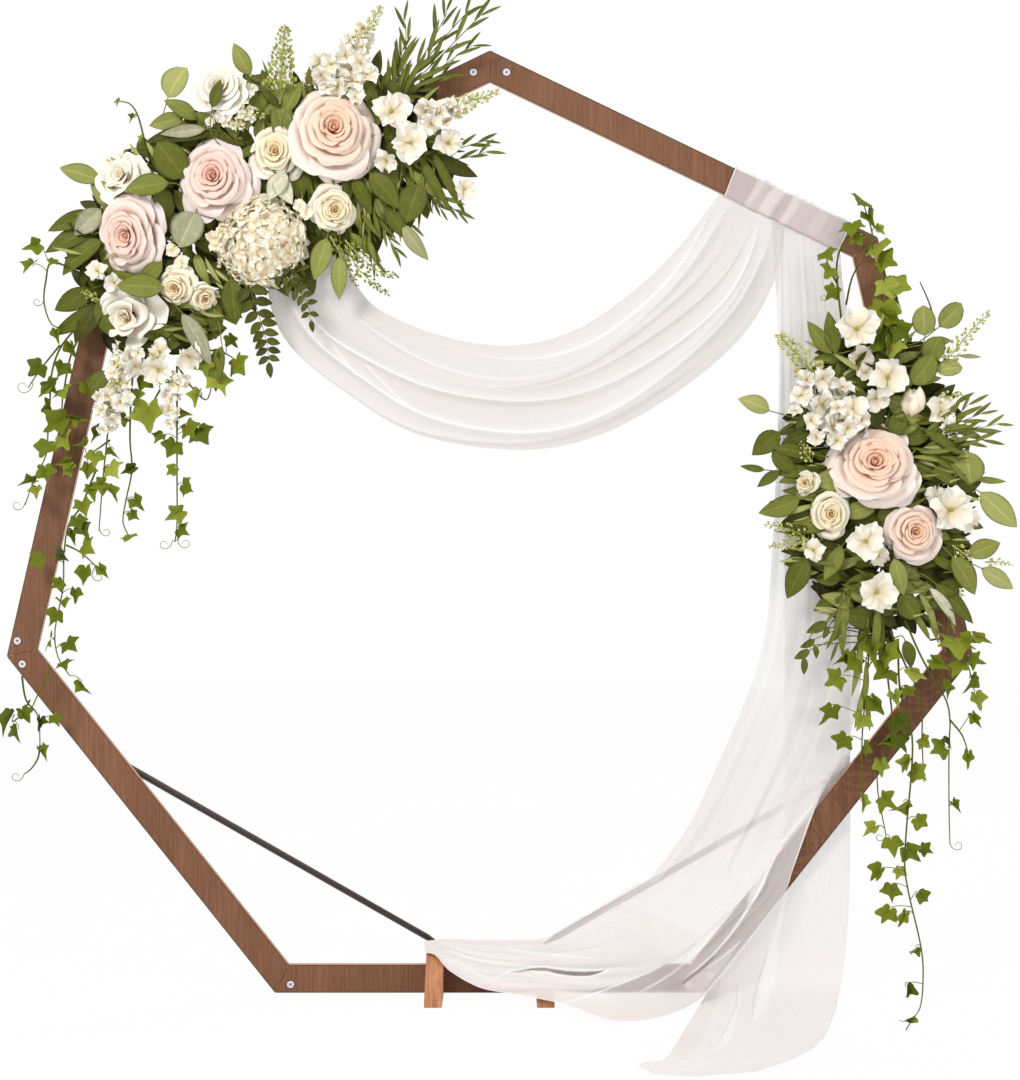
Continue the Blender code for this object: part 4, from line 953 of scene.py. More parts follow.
RIGHT_LEAVES = (
    (832, 354, 807, 321, 0.4, 0.075, 0.08, MID), (836, 354, 828, 311, 0.38, 0.08, 0.09, DEEP),
    (770, 411, 738, 398, 0.58, 0.06, 0.06, LIGHT), (780, 432, 752, 455, 0.62, 0.06, 0.06, DEEP),
    (808, 454, 773, 447, 0.42, 0.07, 0.075, DEEP), (772, 450, 797, 475, 0.5, 0.065, 0.07, DEEP),
    (765, 470, 740, 466, 0.3, 0.06, 0.06, DEEP), (780, 471, 757, 487, 0.42, 0.06, 0.06, DEEP),
    (925, 336, 923, 305, 0.78, 0.06, 0.07, OLIVE), (939, 327, 962, 303, 0.72, 0.06, 0.065, OLIVE),
    (928, 362, 940, 336, 0.84, 0.07, 0.08, MID), (912, 384, 935, 355, 0.76, 0.08, 0.09, MID),
    (928, 344, 952, 340, 0.46, 0.07, 0.076, MID), (936, 371, 963, 367, 0.72, 0.07, 0.072, LIGHT),
    (959, 356, 982, 357, 0.2, 0.06, 0.055, SAGE), (971, 484, 966, 451, 0.98, 0.065, 0.075, OLIVE),
    (980, 492, 1018, 528, 0.48, 0.065, 0.06, LIGHT), (974, 478, 1007, 482, 0.22, 0.06, 0.055, OLIVE),
    (968, 556, 1001, 542, 0.58, 0.065, 0.06, OLIVE), (981, 568, 1014, 589, 0.46, 0.06, 0.055, LIGHT),
    (952, 556, 976, 595, 0.52, 0.075, 0.065, MID), (935, 583, 974, 624, 0.3, 0.07, 0.06, DEEP),
    (929, 587, 958, 626, 0.24, 0.075, 0.065, PALE), (894, 558, 904, 596, 0.48, 0.085, 0.085, OLIVE),
    (900, 595, 918, 619, 0.8, 0.075, 0.078, DEEP), (800, 498, 759, 514, 0.52, 0.07, 0.07, MID),
    (807, 557, 787, 599, 0.52, 0.07, 0.065, DEEP), (843, 593, 813, 611, 0.42, 0.065, 0.06, DEEP),
    (845, 600, 835, 642, 0.38, 0.07, 0.06, MID), (828, 622, 806, 633, 0.46, 0.06, 0.055, DEEP),
    (815, 639, 800, 648, 0.48, 0.06, 0.055, DEEP), (810, 650, 794, 659, 0.5, 0.06, 0.055, DEEP),
    (804, 657, 804, 675, 0.42, 0.06, 0.055, DEEP), (814, 645, 817, 659, 0.46, 0.06, 0.055, DEEP),
    (829, 626, 823, 639, 0.44, 0.06, 0.055, DEEP), (877, 604, 872, 662, 0.17, 0.07, 0.06, MID),
    (868, 610, 856, 672, 0.13, 0.065, 0.055, MID), (882, 610, 880, 668, 0.12, 0.062, 0.055, DEEP),
    (862, 640, 852, 698, 0.13, 0.06, 0.055, OLIVE), (866, 660, 862, 716, 0.12, 0.06, 0.055, MID),
    (862, 690, 855, 730, 0.16, 0.06, 0.055, OLIVE), (866, 696, 870, 732, 0.14, 0.06, 0.055, MID),
    (905, 600, 930, 640, 0.16, 0.07, 0.06, MID), (918, 590, 940, 640, 0.14, 0.07, 0.06, OLIVE),
    (856, 385, 862, 430, 0.5, 0.06, 0.07, DEEP), (872, 395, 872, 436, 0.6, 0.06, 0.066, DARK),
    (902, 412, 892, 440, 0.66, 0.06, 0.07, DEEP), (950, 425, 985, 440, 0.24, 0.07, 0.06, MID),
    (925, 430, 960, 452, 0.26, 0.07, 0.07, DEEP), (930, 470, 962, 486, 0.3, 0.07, 0.066, DEEP),
    (905, 640, 912, 668, 0.5, 0.06, 0.055, DEEP), (812, 405, 795, 432, 0.36, 0.065, 0.06, DEEP),
    (958, 520, 984, 528, 0.42, 0.06, 0.055, DEEP), (842, 546, 824, 580, 0.46, 0.07, 0.065, MID),
    (955, 404, 975, 392, 0.22, 0.06, 0.055, MID), (836, 378, 838, 362, 0.5, 0.07, 0.075, DEEP),
)
# The stem that each swag is bound to, how far forward it runs, and the swag's edge
STEM_FORWARD = 0.022
LEFT_STEM = ((112, 338), (132, 262), (190, 195), (262, 150), (345, 130), (425, 118))
RIGHT_STEM = ((868, 330), (880, 400), (886, 470), (896, 550), (890, 640))
LEFT_EDGE = (
    (88, 300), (72, 250), (100, 200), (135, 158), (180, 132), (215, 105), (262, 88), (320, 84), (372, 78),
    (425, 95), (448, 150), (440, 182), (405, 215), (370, 235), (330, 250), (300, 276), (255, 285),
    (232, 305), (212, 330), (176, 352), (128, 352), (96, 330),
)
RIGHT_EDGE = (
    (842, 345), (880, 338), (918, 352), (938, 392), (955, 430), (966, 480), (962, 540), (950, 590),
    (925, 615), (890, 632), (850, 622), (822, 590), (800, 550), (796, 505), (790, 460), (800, 420), (815, 375),
)
# How often a plain leaf is tried between the others, and how far apart their middles stay, in squares
LEAF_TRIES, LEAF_SPACING = 6000, 8.5


def within(place, edge):
    """Whether a place lies inside a closed outline."""
    inside = False
    for (x0, y0), (x1, y1) in zip(edge, edge[1:] + edge[:1]):
        if (y0 > place[1]) != (y1 > place[1]) and place[0] < x0 + (place[1] - y0) * (x1 - x0) / (y1 - y0):
            inside = not inside
    return inside


def nearest(place, route):
    return min(route, key=lambda point: math.hypot(point[0] - place[0], point[1] - place[1]))


def swag_leaves(side, leaves, stem, edge, seed):
    """The bound stem, its wires and all the plain leaves of one swag."""
    rng = np.random.default_rng(seed)
    green, wires = Bunch(), Bunch()
    route = [tuple(point) for point in refine(stem, 40)]
    for shift in (-5, 0, 6):
        stalk(wires, [spot(x + shift, y - shift, STEM_FORWARD) for x, y in route[::4]], 0.01, DARK, 8, 0.6)
    for x0, y0, x1, y1, width, near, far, tone in leaves:
        base, tip = spot(x0, y0, near), spot(x1, y1, far)
        roll, round_leaf = rng.uniform(-0.35, 0.35), width > 0.7
        leaf(
            green, base, tip, width, tone + rng.uniform(-0.03, 0.03), 0.58 if round_leaf else 0.85,
            0.92 if round_leaf else 0.82, rng.uniform(0.12, 0.32), roll, rng.uniform(0.03, 0.1),
        )
        root = nearest((x0, y0), route)
        back = math.hypot(x0 - root[0], y0 - root[1]) / math.hypot(x1 - x0, y1 - y0)
        outward = (x1 - x0) * (x0 - root[0]) + (y1 - y0) * (y0 - root[1]) > 0
        along_leaf = np.array((x0 - (x1 - x0) * back * 0.5, y0 - (y1 - y0) * back * 0.5))
        halfway = np.array(((x0 + root[0]) / 2, (y0 + root[1]) / 2))
        bend = spot(*(along_leaf * 0.6 + halfway * 0.4 if outward else halfway), near * 0.9)
        stalk(wires, (spot(*root, STEM_FORWARD), bend, base, base + (tip - base) * 0.06), 0.0032, 0.4, 5, 0.7)
    placed = []
    low = np.min(edge, axis=0)
    high = np.max(edge, axis=0)
    for _ in range(LEAF_TRIES):
        place = rng.uniform(low, high)
        if not within(place, edge) or any(math.hypot(*(place - other)) < LEAF_SPACING for other in placed):
            continue
        placed.append(place)
        root = np.array(nearest(place, route))
        out = unit(place - root + rng.normal(0, 14, 2))
        reach = rng.uniform(26, 44)
        deep = rng.uniform(0.018, 0.062)
        # Painted shade: leaves that lie far back get near-black tones
        tone = rng.choice(
            (0.0, 0.02, 0.05, DARK, 0.15, DEEP, MID) if deep < 0.045 else (DARK, 0.18, DEEP, 0.34, OLIVE)
        )
        start = place - out * reach * 0.45
        leaf(
            green, spot(*start, deep), spot(*(start + out * reach), deep + rng.uniform(-0.014, 0.012)),
            rng.uniform(0.3, 0.62), tone, 0.8, 0.82, 0.25, rng.uniform(-0.6, 0.6), rng.uniform(0.02, 0.14),
        )
    # A few pale sprigs, and needles, which fill between the broad leaves
    for _ in range(150):
        place = placed[rng.integers(len(placed))]
        root = np.array(nearest(place, route))
        out = unit(place - root + rng.normal(0, 10, 2))
        deep = rng.uniform(0.045, 0.072)
        reach = rng.uniform(16, 34)
        leaf(
            green, spot(*place, deep), spot(*(place + out * reach), deep + rng.uniform(-0.01, 0.02)),
            rng.uniform(0.1, 0.2), rng.choice((DEEP, MID, OLIVE, LIGHT, LIGHT)), 0.9, 0.9, 0.3,
            rng.uniform(-0.5, 0.5),
        )
    green.made(f"{side}_swag_leaves", silk_leaf, "foliage", f"{side}_foliage")
    wires.made(f"{side}_swag_wires", silk_leaf, "foliage", f"{side}_foliage")


swag_leaves("left", LEFT_LEAVES, LEFT_STEM, LEFT_EDGE, 3)
swag_leaves("right", RIGHT_LEAVES, RIGHT_STEM, RIGHT_EDGE, 11)

# Sprays
# Moulded plastic greenery on wires: paired ruscus leaves, narrow rosemary needles, and sprigs of
# green buds. They are pushed in between the leaves and stand out past them.
def path_of(route, count):
    """Points at even steps along a route of squares."""
    return refine([tuple(spot(*point)) for point in route], count)


def spray_of_pairs(bunch, route, size, pairs, tone):
    """Leaves in pairs along a stem, smaller towards its tip."""
    path = path_of(route, pairs + 1)
    stalk(bunch, path, 0.0026, 0.35, 5)
    rng = np.random.default_rng(int(route[0][0]))
    for i in range(1, pairs):
        ahead = unit(path[i] - path[i - 1])
        side = unit(np.cross(ahead, FORWARD))
        shrink = 1.0 - 0.42 * i / pairs
        for way in (-1, 1):
            out = unit(ahead * rng.uniform(0.35, 0.7) + side * way + np.array((0, rng.uniform(-0.35, 0.1), 0)))
            shade = tone + rng.uniform(-0.06, 0.06)
            leaf(bunch, path[i], path[i] + out * size * shrink, 0.56, shade, 0.8, 0.85, 0.3, 0.0, 0.08)
    ahead = unit(path[-1] - path[-2])
    leaf(bunch, path[-1], path[-1] + ahead * size * 0.8, 0.46, tone, 0.8, 0.8, 0.3)


def needle_spray(bunch, route, size, needles, tone, width):
    """Narrow leaves on both sides of a stem in turn."""
    path = path_of(route, needles)
    stalk(bunch, [*path[::3], path[-1]], 0.003, 0.4, 5)
    rng = np.random.default_rng(int(route[-1][0]))
    for i in range(needles):
        ahead = unit(path[min(i + 1, needles - 1)] - path[min(i, needles - 2)])
        side = unit(np.cross(ahead, FORWARD)) * (1 if i % 2 else -1)
        out = ahead * rng.uniform(1.6, 3.2) + side * rng.uniform(0.5, 1.0)
        out = unit(out + np.array((0, rng.uniform(-0.4, 0.1), 0)))
        reach = size * (1.0 - 0.4 * i / needles) * rng.uniform(0.75, 1.2)
        shade = tone + rng.uniform(-0.08, 0.08)
        leaf(bunch, path[i], path[i] + out * reach, width, shade, 0.75, 0.9, 0.35, 0.0, 0.05)


def bud(bunch, base, tip, width, tone):
    """A plump bud from base to tip."""
    base, tip = np.array(base), np.array(tip)
    ahead = unit(tip - base)
    side = unit(np.cross(ahead, (0.31, -0.9, 0.2)))
    out = np.cross(side, ahead)
    t, around = np.linspace(0, 1, 6)[:, None, None], np.linspace(0, 2 * np.pi, 8)[None, :, None]
    radius = width / 2 * np.sin(np.pi * t ** 0.8) ** 0.7
    bunch.add(base + (tip - base) * t + (side * np.cos(around) + out * np.sin(around)) * radius, tone)


def bud_sprig(bunch, route, start, size, count, tone):
    """Buds on short stalks all round a stem, over a cone that narrows to its tip."""
    path = path_of(route, 24)
    stalk(bunch, [*path[::4], path[-1]], 0.0034, 0.62, 5)
    rng = np.random.default_rng(int(route[0][0] + route[-1][1]))
    for i in range(count):
        share = (i + 0.5) / count
        at_step = min(int(share * 22) + 1, 22)
        ahead = unit(path[at_step + 1] - path[at_step])
        side = unit(np.cross(ahead, FORWARD))
        angle = 2.4 * i + rng.uniform(-0.3, 0.3)
        out = unit(side * math.cos(angle) + FORWARD * (0.15 + math.sin(angle) * 0.85) + ahead * 0.9)
        reach = start * (1 - 0.78 * share) * rng.uniform(0.55, 1.1)
        foot = path[at_step] + ahead * rng.uniform(-0.004, 0.004)
        head = foot + out * reach
        grown = size * (1 - 0.5 * share)
        stalk(bunch, (foot, (foot + head) / 2 + ahead * 0.002, head), 0.0014, 0.55, 4)
        bud(bunch, head, head + unit(out + ahead * 0.4) * grown, grown * 0.74, tone + rng.uniform(-0.1, 0.1))


bud_green = leaf_finish(
    "bud_green", (0.0, (0.13, 0.16, 0.02)), (0.35, (0.31, 0.34, 0.06)), (0.65, (0.56, 0.55, 0.17)),
    (0.85, (0.8, 0.76, 0.4)), (1.0, (0.92, 0.88, 0.7)), rim=0.9,
)

ruscus, needles = Bunch(), Bunch()
spray_of_pairs(ruscus, ((247, 280, 0.075), (258, 312, 0.074), (266, 340, 0.07), (269, 362, 0.066)), 0.047, 9, 0.14)
spray_of_pairs(ruscus, ((276, 268, 0.08), (292, 285, 0.078), (306, 300, 0.074), (311, 320, 0.07)), 0.036, 7, 0.14)
spray_of_pairs(ruscus, ((276, 272, 0.085), (284, 276, 0.085), (300, 270, 0.08)), 0.034, 4, 0.14)
for route in (
    ((398, 92, 0.055), (420, 60, 0.06), (440, 30, 0.06), (446, 12, 0.058)),
    ((402, 90, 0.055), (432, 52, 0.058), (458, 22, 0.056), (468, 12, 0.054)),
    ((404, 92, 0.06), (435, 62, 0.062), (462, 34, 0.06), (480, 16, 0.056)),
    ((404, 94, 0.058), (430, 76, 0.058), (452, 58, 0.056), (472, 46, 0.054)),
    ((396, 92, 0.05), (402, 70, 0.05), (408, 45, 0.05), (404, 22, 0.048)),
    ((390, 92, 0.05), (396, 76, 0.05), (402, 52, 0.05)),
    ((398, 98, 0.05), (420, 90, 0.05), (445, 76, 0.05)),
):
    needle_spray(needles, route, 0.088, 8, 0.26, 0.135)
for route in (
    ((415, 150, 0.06), (440, 152, 0.06), (465, 146, 0.055), (484, 141, 0.05)),
    ((415, 154, 0.06), (440, 160, 0.06), (466, 158, 0.055), (485, 152, 0.05)),
    ((410, 160, 0.06), (425, 182, 0.06), (445, 202, 0.055), (458, 212, 0.05)),
    ((405, 160, 0.06), (418, 184, 0.06), (432, 200, 0.055), (440, 208, 0.05)),
    ((395, 180, 0.06), (402, 205, 0.06), (412, 228, 0.055)),
    ((370, 205, 0.06), (385, 232, 0.06), (396, 250, 0.055)),
    ((360, 212, 0.06), (366, 236, 0.06), (374, 262, 0.055)),
):
    needle_spray(needles, route, 0.066, 8, 0.28, 0.17)
for route in (
    ((925, 432, 0.07), (948, 422, 0.07), (968, 405, 0.065)),
    ((925, 436, 0.07), (955, 424, 0.07), (980, 414, 0.065)),
    ((930, 440, 0.07), (965, 432, 0.068), (996, 424, 0.06)),
    ((926, 446, 0.07), (958, 442, 0.068), (982, 440, 0.062)),
    ((920, 452, 0.07), (945, 460, 0.068), (962, 472, 0.062)),
    ((905, 602, 0.065), (925, 618, 0.065), (945, 640, 0.06)),
    ((850, 590, 0.065), (840, 618, 0.065), (838, 640, 0.06)),
):
    needle_spray(needles, route, 0.082, 6, 0.36, 0.165)
ruscus.made("ruscus_sprays", silk_leaf, "foliage", "left_foliage")
needles.made("needle_sprays", silk_leaf, "foliage", "left_foliage", "right_foliage")

for name, route, start, size, count, tone, node in (
    (
        "left_green_spike", ((280, 104, 0.085), (281, 80, 0.088), (283, 55, 0.088), (285, 28, 0.086)),
        0.05, 0.0125, 130, 0.45, "left_bud_spike",
    ),
    (
        "right_green_spike", ((940, 368, 0.072), (955, 350, 0.074), (972, 330, 0.074), (988, 314, 0.072)),
        0.026, 0.012, 44, 0.55, "right_bud_spike",
    ),
):
    spike = Bunch()
    bud_sprig(spike, route, start, size, count, tone)
    spike.made(name, bud_green, "foliage", node)
sprigs = Bunch()
for route, start, count, tone in (
    (((345, 240, 0.07), (362, 258, 0.068), (380, 272, 0.06), (398, 276, 0.055)), 0.02, 46, 0.22),
    (((345, 245, 0.07), (358, 268, 0.068), (374, 284, 0.06), (388, 294, 0.055)), 0.019, 46, 0.22),
    (((330, 236, 0.07), (345, 262, 0.068), (356, 284, 0.06)), 0.019, 34, 0.22),
    (((815, 548, 0.072), (800, 534, 0.07), (784, 528, 0.065), (768, 524, 0.06)), 0.026, 40, 0.58),
    (((812, 548, 0.072), (798, 543, 0.07), (784, 544, 0.065), (772, 546, 0.06)), 0.022, 34, 0.58),
    (((812, 462, 0.074), (806, 454, 0.074), (802, 444, 0.072)), 0.026, 20, 0.62),
    (((935, 398, 0.07), (950, 396, 0.07), (962, 394, 0.066)), 0.014, 14, 0.62),
    (((952, 545, 0.07), (962, 552, 0.07), (970, 558, 0.066)), 0.022, 16, 0.62),
    (((985, 562, 0.06), (998, 562, 0.06), (1010, 564, 0.056)), 0.01, 12, 0.7),
    (((100, 300, 0.075), (90, 296, 0.075), (84, 292, 0.072)), 0.012, 12, 0.45),
    (((952, 590, 0.06), (958, 592, 0.06), (962, 596, 0.056)), 0.012, 10, 0.8),
):
    bud_sprig(sprigs, route, start, 0.0105, count, tone)
sprigs.made("bud_sprigs", bud_green, "foliage", "left_foliage", "right_foliage")

# Roses
# Cut silk petals, pressed into cups and threaded on a wire in rings: a tight heart, then wider and
# flatter petals whose rims roll back. Blush roses are deepest at the heart, and the cream ones yellow.
GOLDEN_TURN = 2.39996
# How high the petals' rims are, from the heart of a rose outwards
RIM_PLACES, RIM_HEIGHTS = (0.0, 0.1, 0.3, 0.55, 0.8, 1.0), (0.86, 0.94, 1.0, 0.8, 0.46, 0.16)


def turned(facing):
    """The directions right, up and out of something that faces this way."""
    out = unit(facing)
    right = unit(np.cross((0.0, 0.0, 1.0), out))
    return np.stack((right, np.cross(out, right), out))


def bloom(bunch, centre, radius, depth, petals, seed, facing=(0, -1, 0), ruffle_by=0.03, squeeze=1.0):
    """A rose: petals set round in a spiral, each one a little further out and wider open than the last."""
    rng = np.random.default_rng(seed)
    axes = turned(facing)
    v, u = np.linspace(0, 1, 12)[:, None], np.linspace(-1, 1, 25)[None, :]
    turn = rng.uniform(0, 6)
    off_x, off_y = rng.uniform(-0.06, 0.06, 2)
    for k in range(petals):
        share = (k + 0.5) / petals
        turn += GOLDEN_TURN + rng.normal(0, 0.26)
        rim = (0.05 + 0.95 * share ** 0.95) * (1 + rng.uniform(-0.13, 0.07) * min(1, 2 * share))
        phase = rng.uniform(0, 6.28, 3)
        point = 0.07 * share * np.exp(-(((u - rng.uniform(-0.2, 0.2)) / 0.16) ** 2))
        edge = 1 - 0.62 * np.abs(u) ** 4.5 + point + 0.022 * share * np.sin(6.0 * u + phase[0])
        edge = edge + 0.012 * np.sin(13 * u + phase[2])
        w = v * edge
        angle = turn + (1.75 - 0.7 * share) * u * (0.55 + 0.45 * v)
        out = radius * (rim * (0.26 + 0.74 * w ** 1.15) + 0.035 * u * (0.3 + share))
        top = np.interp(share, RIM_PLACES, RIM_HEIGHTS)
        fall = 0.6 * np.clip(1 - w, 0, 1) ** 1.5 + (0.06 + 0.12 * share) * np.clip((w - 0.8) / 0.2, 0, 1.4) ** 2
        wave = ruffle_by * (0.2 + share) * np.sin(4.5 * u + phase[1]) * v ** 2
        high = np.clip(depth * (top - fall + wave + 0.05 * u), 0.0, None)
        aside = (1 - share) * radius
        x, y = out * np.cos(angle) + off_x * aside, (out * np.sin(angle) + off_y * aside) * squeeze
        tone = np.clip(share * 0.82 + 0.18 * v + rng.uniform(-0.03, 0.03) + 0 * u, 0, 1)
        bunch.add(np.array(centre) + np.stack((x, y, high), axis=-1) @ axes, tone)
    # The folded heart, which fills the middle
    heart = np.array(centre) + np.array((off_x * radius, off_y * radius * squeeze, 0.0)) @ axes
    bud(bunch, heart, heart + axes[2] * depth * 0.86, radius * 0.15, 0.03)


def petal_finish(name, *tones, glow=0.12, shine=0.2):
    """A silk petal: coloured from the heart outwards, painted darker towards its root as shade and paler along its rim
    as a highlight.
    """
    finish, kit, links, shader = new_finish(name)
    colour = wavering(kit, links, 45.0, 0.14, tones)
    # Painted shade towards each petal's root, deep in the flower, and a painted highlight along its rim, brighter than
    # the silk's own colour
    outer = ramp(
        kit, links, marked(kit, "along"), (0.0, (0.93, 0.8, 0.7)), (0.45, (0.99, 0.95, 0.92)), (0.9, (1.0,) * 3),
        (1.0, (1.06,) * 3)
    )
    links.new(multiplied(kit, links, colour, outer), shader.inputs["Base Color"])
    fibres = sum_node(kit, links, "MULTIPLY", marked(kit, "across"), 70.0)
    fibres = sum_node(kit, links, "SINE", fibres, 0.0)
    roughened(kit, links, shader, fibres, 0.08, 0.0004)
    shader.inputs["Roughness"].default_value = 0.6
    shader.inputs["Specular IOR Level"].default_value = shine
    shader.inputs["Sheen Weight"].default_value = glow
    shader.inputs["Sheen Roughness"].default_value = 0.5
    shader.inputs["Subsurface Weight"].default_value = 0.15
    shader.inputs["Subsurface Radius"].default_value = (0.01, 0.006, 0.004)
    shader.inputs["Subsurface Scale"].default_value = 1.0
    return finish


blush = petal_finish(
    "blush_silk", (0.0, (0.87, 0.52, 0.41)), (0.2, (0.91, 0.6, 0.49)), (0.45, (0.92, 0.66, 0.56)),
    (0.8, (0.93, 0.77, 0.7)), (1.0, (0.94, 0.83, 0.78))
)
peach = petal_finish(
    "peach_silk", (0.0, (0.92, 0.56, 0.38)), (0.25, (0.95, 0.64, 0.47)), (0.55, (0.96, 0.71, 0.56)),
    (0.85, (0.96, 0.82, 0.74)), (1.0, (0.96, 0.86, 0.81))
)
cream = petal_finish(
    "cream_silk", (0.0, (0.86, 0.6, 0.3)), (0.25, (0.93, 0.76, 0.48)), (0.6, (0.95, 0.85, 0.62)),
    (1.0, (0.96, 0.91, 0.78))
)
white = petal_finish(
    "white_silk", (0.0, (0.82, 0.73, 0.52)), (0.25, (0.91, 0.84, 0.7)), (0.6, (0.95, 0.9, 0.79)),
    (1.0, (0.955, 0.92, 0.84)), glow=0.04
)

# Each: where it stands and its radius in squares, its depth, silk, seed, the way it faces, its height
# as a share of its width, and the node it stands for
ROSES = (
    ("left_rose_low", 135, 236, 42, 0.07, blush, 5, (-0.3, -1, -0.15), 1.16, "left_blush_rose_3"),
    ("left_rose_middle", 219, 182, 45, 0.075, blush, 9, (-0.05, -1, 0.05), 1.11, "left_blush_rose_1"),
    ("left_rose_high", 333, 137, 52, 0.08, peach, 14, (0.18, -1, 0.12), 1.07, "left_blush_rose_2"),
    ("left_cream_rose_high", 277, 155, 29, 0.055, cream, 23, (0.0, -1, 0.1), 1.13, "left_cream_rose_1"),
    ("left_cream_rose_low", 180, 287, 25, 0.05, cream, 31, (-0.15, -1, -0.25), 0.95, "left_cream_rose_3"),
    ("left_cream_rose_right", 334, 210, 28, 0.052, cream, 37, (0.15, -1, -0.1), 1.05, "left_cream_rose_2"),
    ("right_rose_high", 874, 466, 55, 0.08, peach, 44, (-0.08, -1, 0.16), 0.9, "right_blush_rose_1"),
    ("right_rose_low", 911, 532, 34, 0.062, peach, 52, (0.0, -1, 0.0), 1.06, "right_blush_rose_2"),
    ("right_cream_bloom", 830, 515, 25, 0.05, cream, 61, (-0.15, -1, 0.0), 1.1, "right_cream_rose"),
)
ROSE_BACK = 0.056
for name, x, y, radius, depth, silk, seed, facing, squeeze, node in ROSES:
    petals, count = Bunch(), 17 + int(radius * 0.24)
    bloom(petals, spot(x, y, ROSE_BACK), radius * SQUARE, depth, count, seed, facing, 0.03, squeeze)
    petals.made(name, silk, "cream_petals" if silk is cream else "blush_petals", node)

# Smaller roses and buds that stand behind or between the others
small_roses = Bunch()
for x, y, radius, depth, seed, facing in (
    (807, 482, 15, 0.036, 73, (-0.35, -1, -0.1)), (203, 296, 17, 0.036, 77, (0.4, -1, -0.5)),
):
    bloom(small_roses, spot(x, y, 0.06), radius * SQUARE, depth, 15, seed, facing, 0.04)
# A closed bud of four petals, wrapped one behind another
for x, y, reach, wide, forward, tone in (
    (911, 417, 29, 0.036, 0.066, 0.55), (907, 415, 27, 0.03, 0.074, 0.75), (917, 414, 28, 0.028, 0.078, 0.85),
    (912, 416, 24, 0.026, 0.084, 0.95),
):
    bud(small_roses, spot(x, y, forward), spot(x + 3, y - reach, forward + 0.006), wide * 1.25, tone)
small_roses.made("small_cream_roses", cream, "cream_petals", "left_foliage", "right_foliage")
peony = Bunch()
bloom(peony, spot(134, 317, ROSE_BACK), 39 * SQUARE, 0.062, 12, 83, (-0.2, -1, -0.15), 0.34)
peony.made("left_peony_bloom", white, "white_petals", "left_peony")
carnation = Bunch()
bloom(carnation, spot(125, 181, 0.055), 40 * SQUARE, 0.042, 19, 89, (-0.3, -1, 0.3), 0.34)
bloom(carnation, spot(222, 93, 0.06), 37 * SQUARE, 0.045, 17, 71, (-0.1, -1, 0.3), 0.05)
carnation.made("left_white_blooms", white, "white_petals", "left_foliage")

# Small blossoms
# Five-petalled silk flowers, hydrangea and stock heads made of many florets, and white bells. Each
# floret is one pressed cut of cloth with a small green or yellow eye.
def blossom(bunch, centre, radius, facing, seed, petals=5, cup=0.25, eye=0.16, ruffle_by=0.05, tone=0.75):
    rng = np.random.default_rng(seed)
    axes = turned(facing)
    v, u = np.linspace(0, 1, 8)[:, None], np.linspace(-1, 1, 9)[None, :]
    turn = rng.uniform(0, 6.28)
    for k in range(petals):
        middle = turn + 2 * np.pi * k / petals + rng.uniform(-0.18, 0.18)
        size = radius * rng.uniform(0.82, 1.08)
        half = 0.9 * math.sin(math.pi / petals) * size * np.sin(np.pi * (0.06 + 0.76 * v)) ** 0.9
        half = half * rng.uniform(0.85, 1.1)
        notch = 0.1 * np.exp(-((u / 0.22) ** 2)) * rng.uniform(0, 1)
        frill = 0.06 * np.sin(4.5 * u + rng.uniform(0, 6)) * v
        ahead = size * (0.04 + 0.96 * v * (1 - 0.16 * u * u - notch * v + frill))
        lift = cup * rng.uniform(0.2, 1.9) * v + 0.3 * u * u * v - rng.uniform(0.05, 0.35) * v ** 4 + 0.07 * (k % 2)
        wave = ruffle_by * np.sin(5 * u + rng.uniform(0, 6)) * v ** 2 + 0.035 * np.cos(7 * u) * v
        x = ahead * math.cos(middle) - u * half * math.sin(middle)
        y = ahead * math.sin(middle) + u * half * math.cos(middle)
        # Each petal is painted darker towards its base, and near the base towards its sides: partly the greenish
        # throat of the floret, partly painted shade between the petals
        shade = np.clip(tone * (0.3 + 0.8 * v) - 0.1 * np.abs(u) * (1 - v), 0, 1)
        bunch.add(np.array(centre) + np.stack((x, y, size * (lift + wave)), axis=-1) @ axes, shade)
    if eye:
        foot = np.array(centre) + axes[2] * size * 0.02
        bud(bunch, foot, foot + axes[2] * size * 0.22, size * eye * 2, 0.0)


flower_white = petal_finish(
    "floret_white", (0.0, (0.36, 0.36, 0.07)), (0.12, (0.56, 0.54, 0.22)), (0.32, (0.82, 0.77, 0.58)),
    (0.65, (0.93, 0.89, 0.77)), (1.0, (0.965, 0.94, 0.875))
)
flower_cream = petal_finish(
    "floret_cream", (0.0, (0.8, 0.68, 0.38)), (0.2, (0.9, 0.81, 0.57)), (0.45, (0.96, 0.89, 0.68)),
    (1.0, (0.975, 0.935, 0.8)), glow=0.05
)

hydrangea = Bunch()
rng = np.random.default_rng(19)
HEAD = spot(262, 243, 0.05)
bud(hydrangea, HEAD + Vector((0, 0.02, 0)), HEAD + Vector((0, -0.052, 0)), 0.195, 0.5)
FLORETS = 84
for i in range(FLORETS):
    share = (i + 0.5) / FLORETS
    angle = GOLDEN_TURN * i
    slope = math.sqrt(share) * 1.45
    out = (math.sin(slope) * math.cos(angle), -math.cos(slope), math.sin(slope) * math.sin(angle))
    place = np.array(HEAD) + np.array((out[0] * 0.098, out[1] * 0.062, out[2] * 0.098))
    size, facing = rng.uniform(0.022, 0.028), unit(np.array(out) + rng.normal(0, 0.22, 3))
    blossom(hydrangea, place, size, facing, 100 + i, 4, 0.1, 0.045, 0.06, rng.uniform(0.7, 1.0))
for x, y in (
    (215, 246), (222, 232), (228, 240), (212, 238), (234, 228), (226, 252), (240, 226), (300, 206), (306, 214),
    (298, 230), (172, 250), (182, 262), (176, 272)
):
    facing = unit((rng.normal(0, 0.3), -1, rng.normal(0, 0.3)))
    blossom(hydrangea, spot(x, y, 0.085), 0.018, facing, int(x + y), 4, 0.15, 0.09, 0.06, 0.8)
hydrangea.made("left_hydrangea_head", flower_cream, "cream_petals", "left_hydrangea")

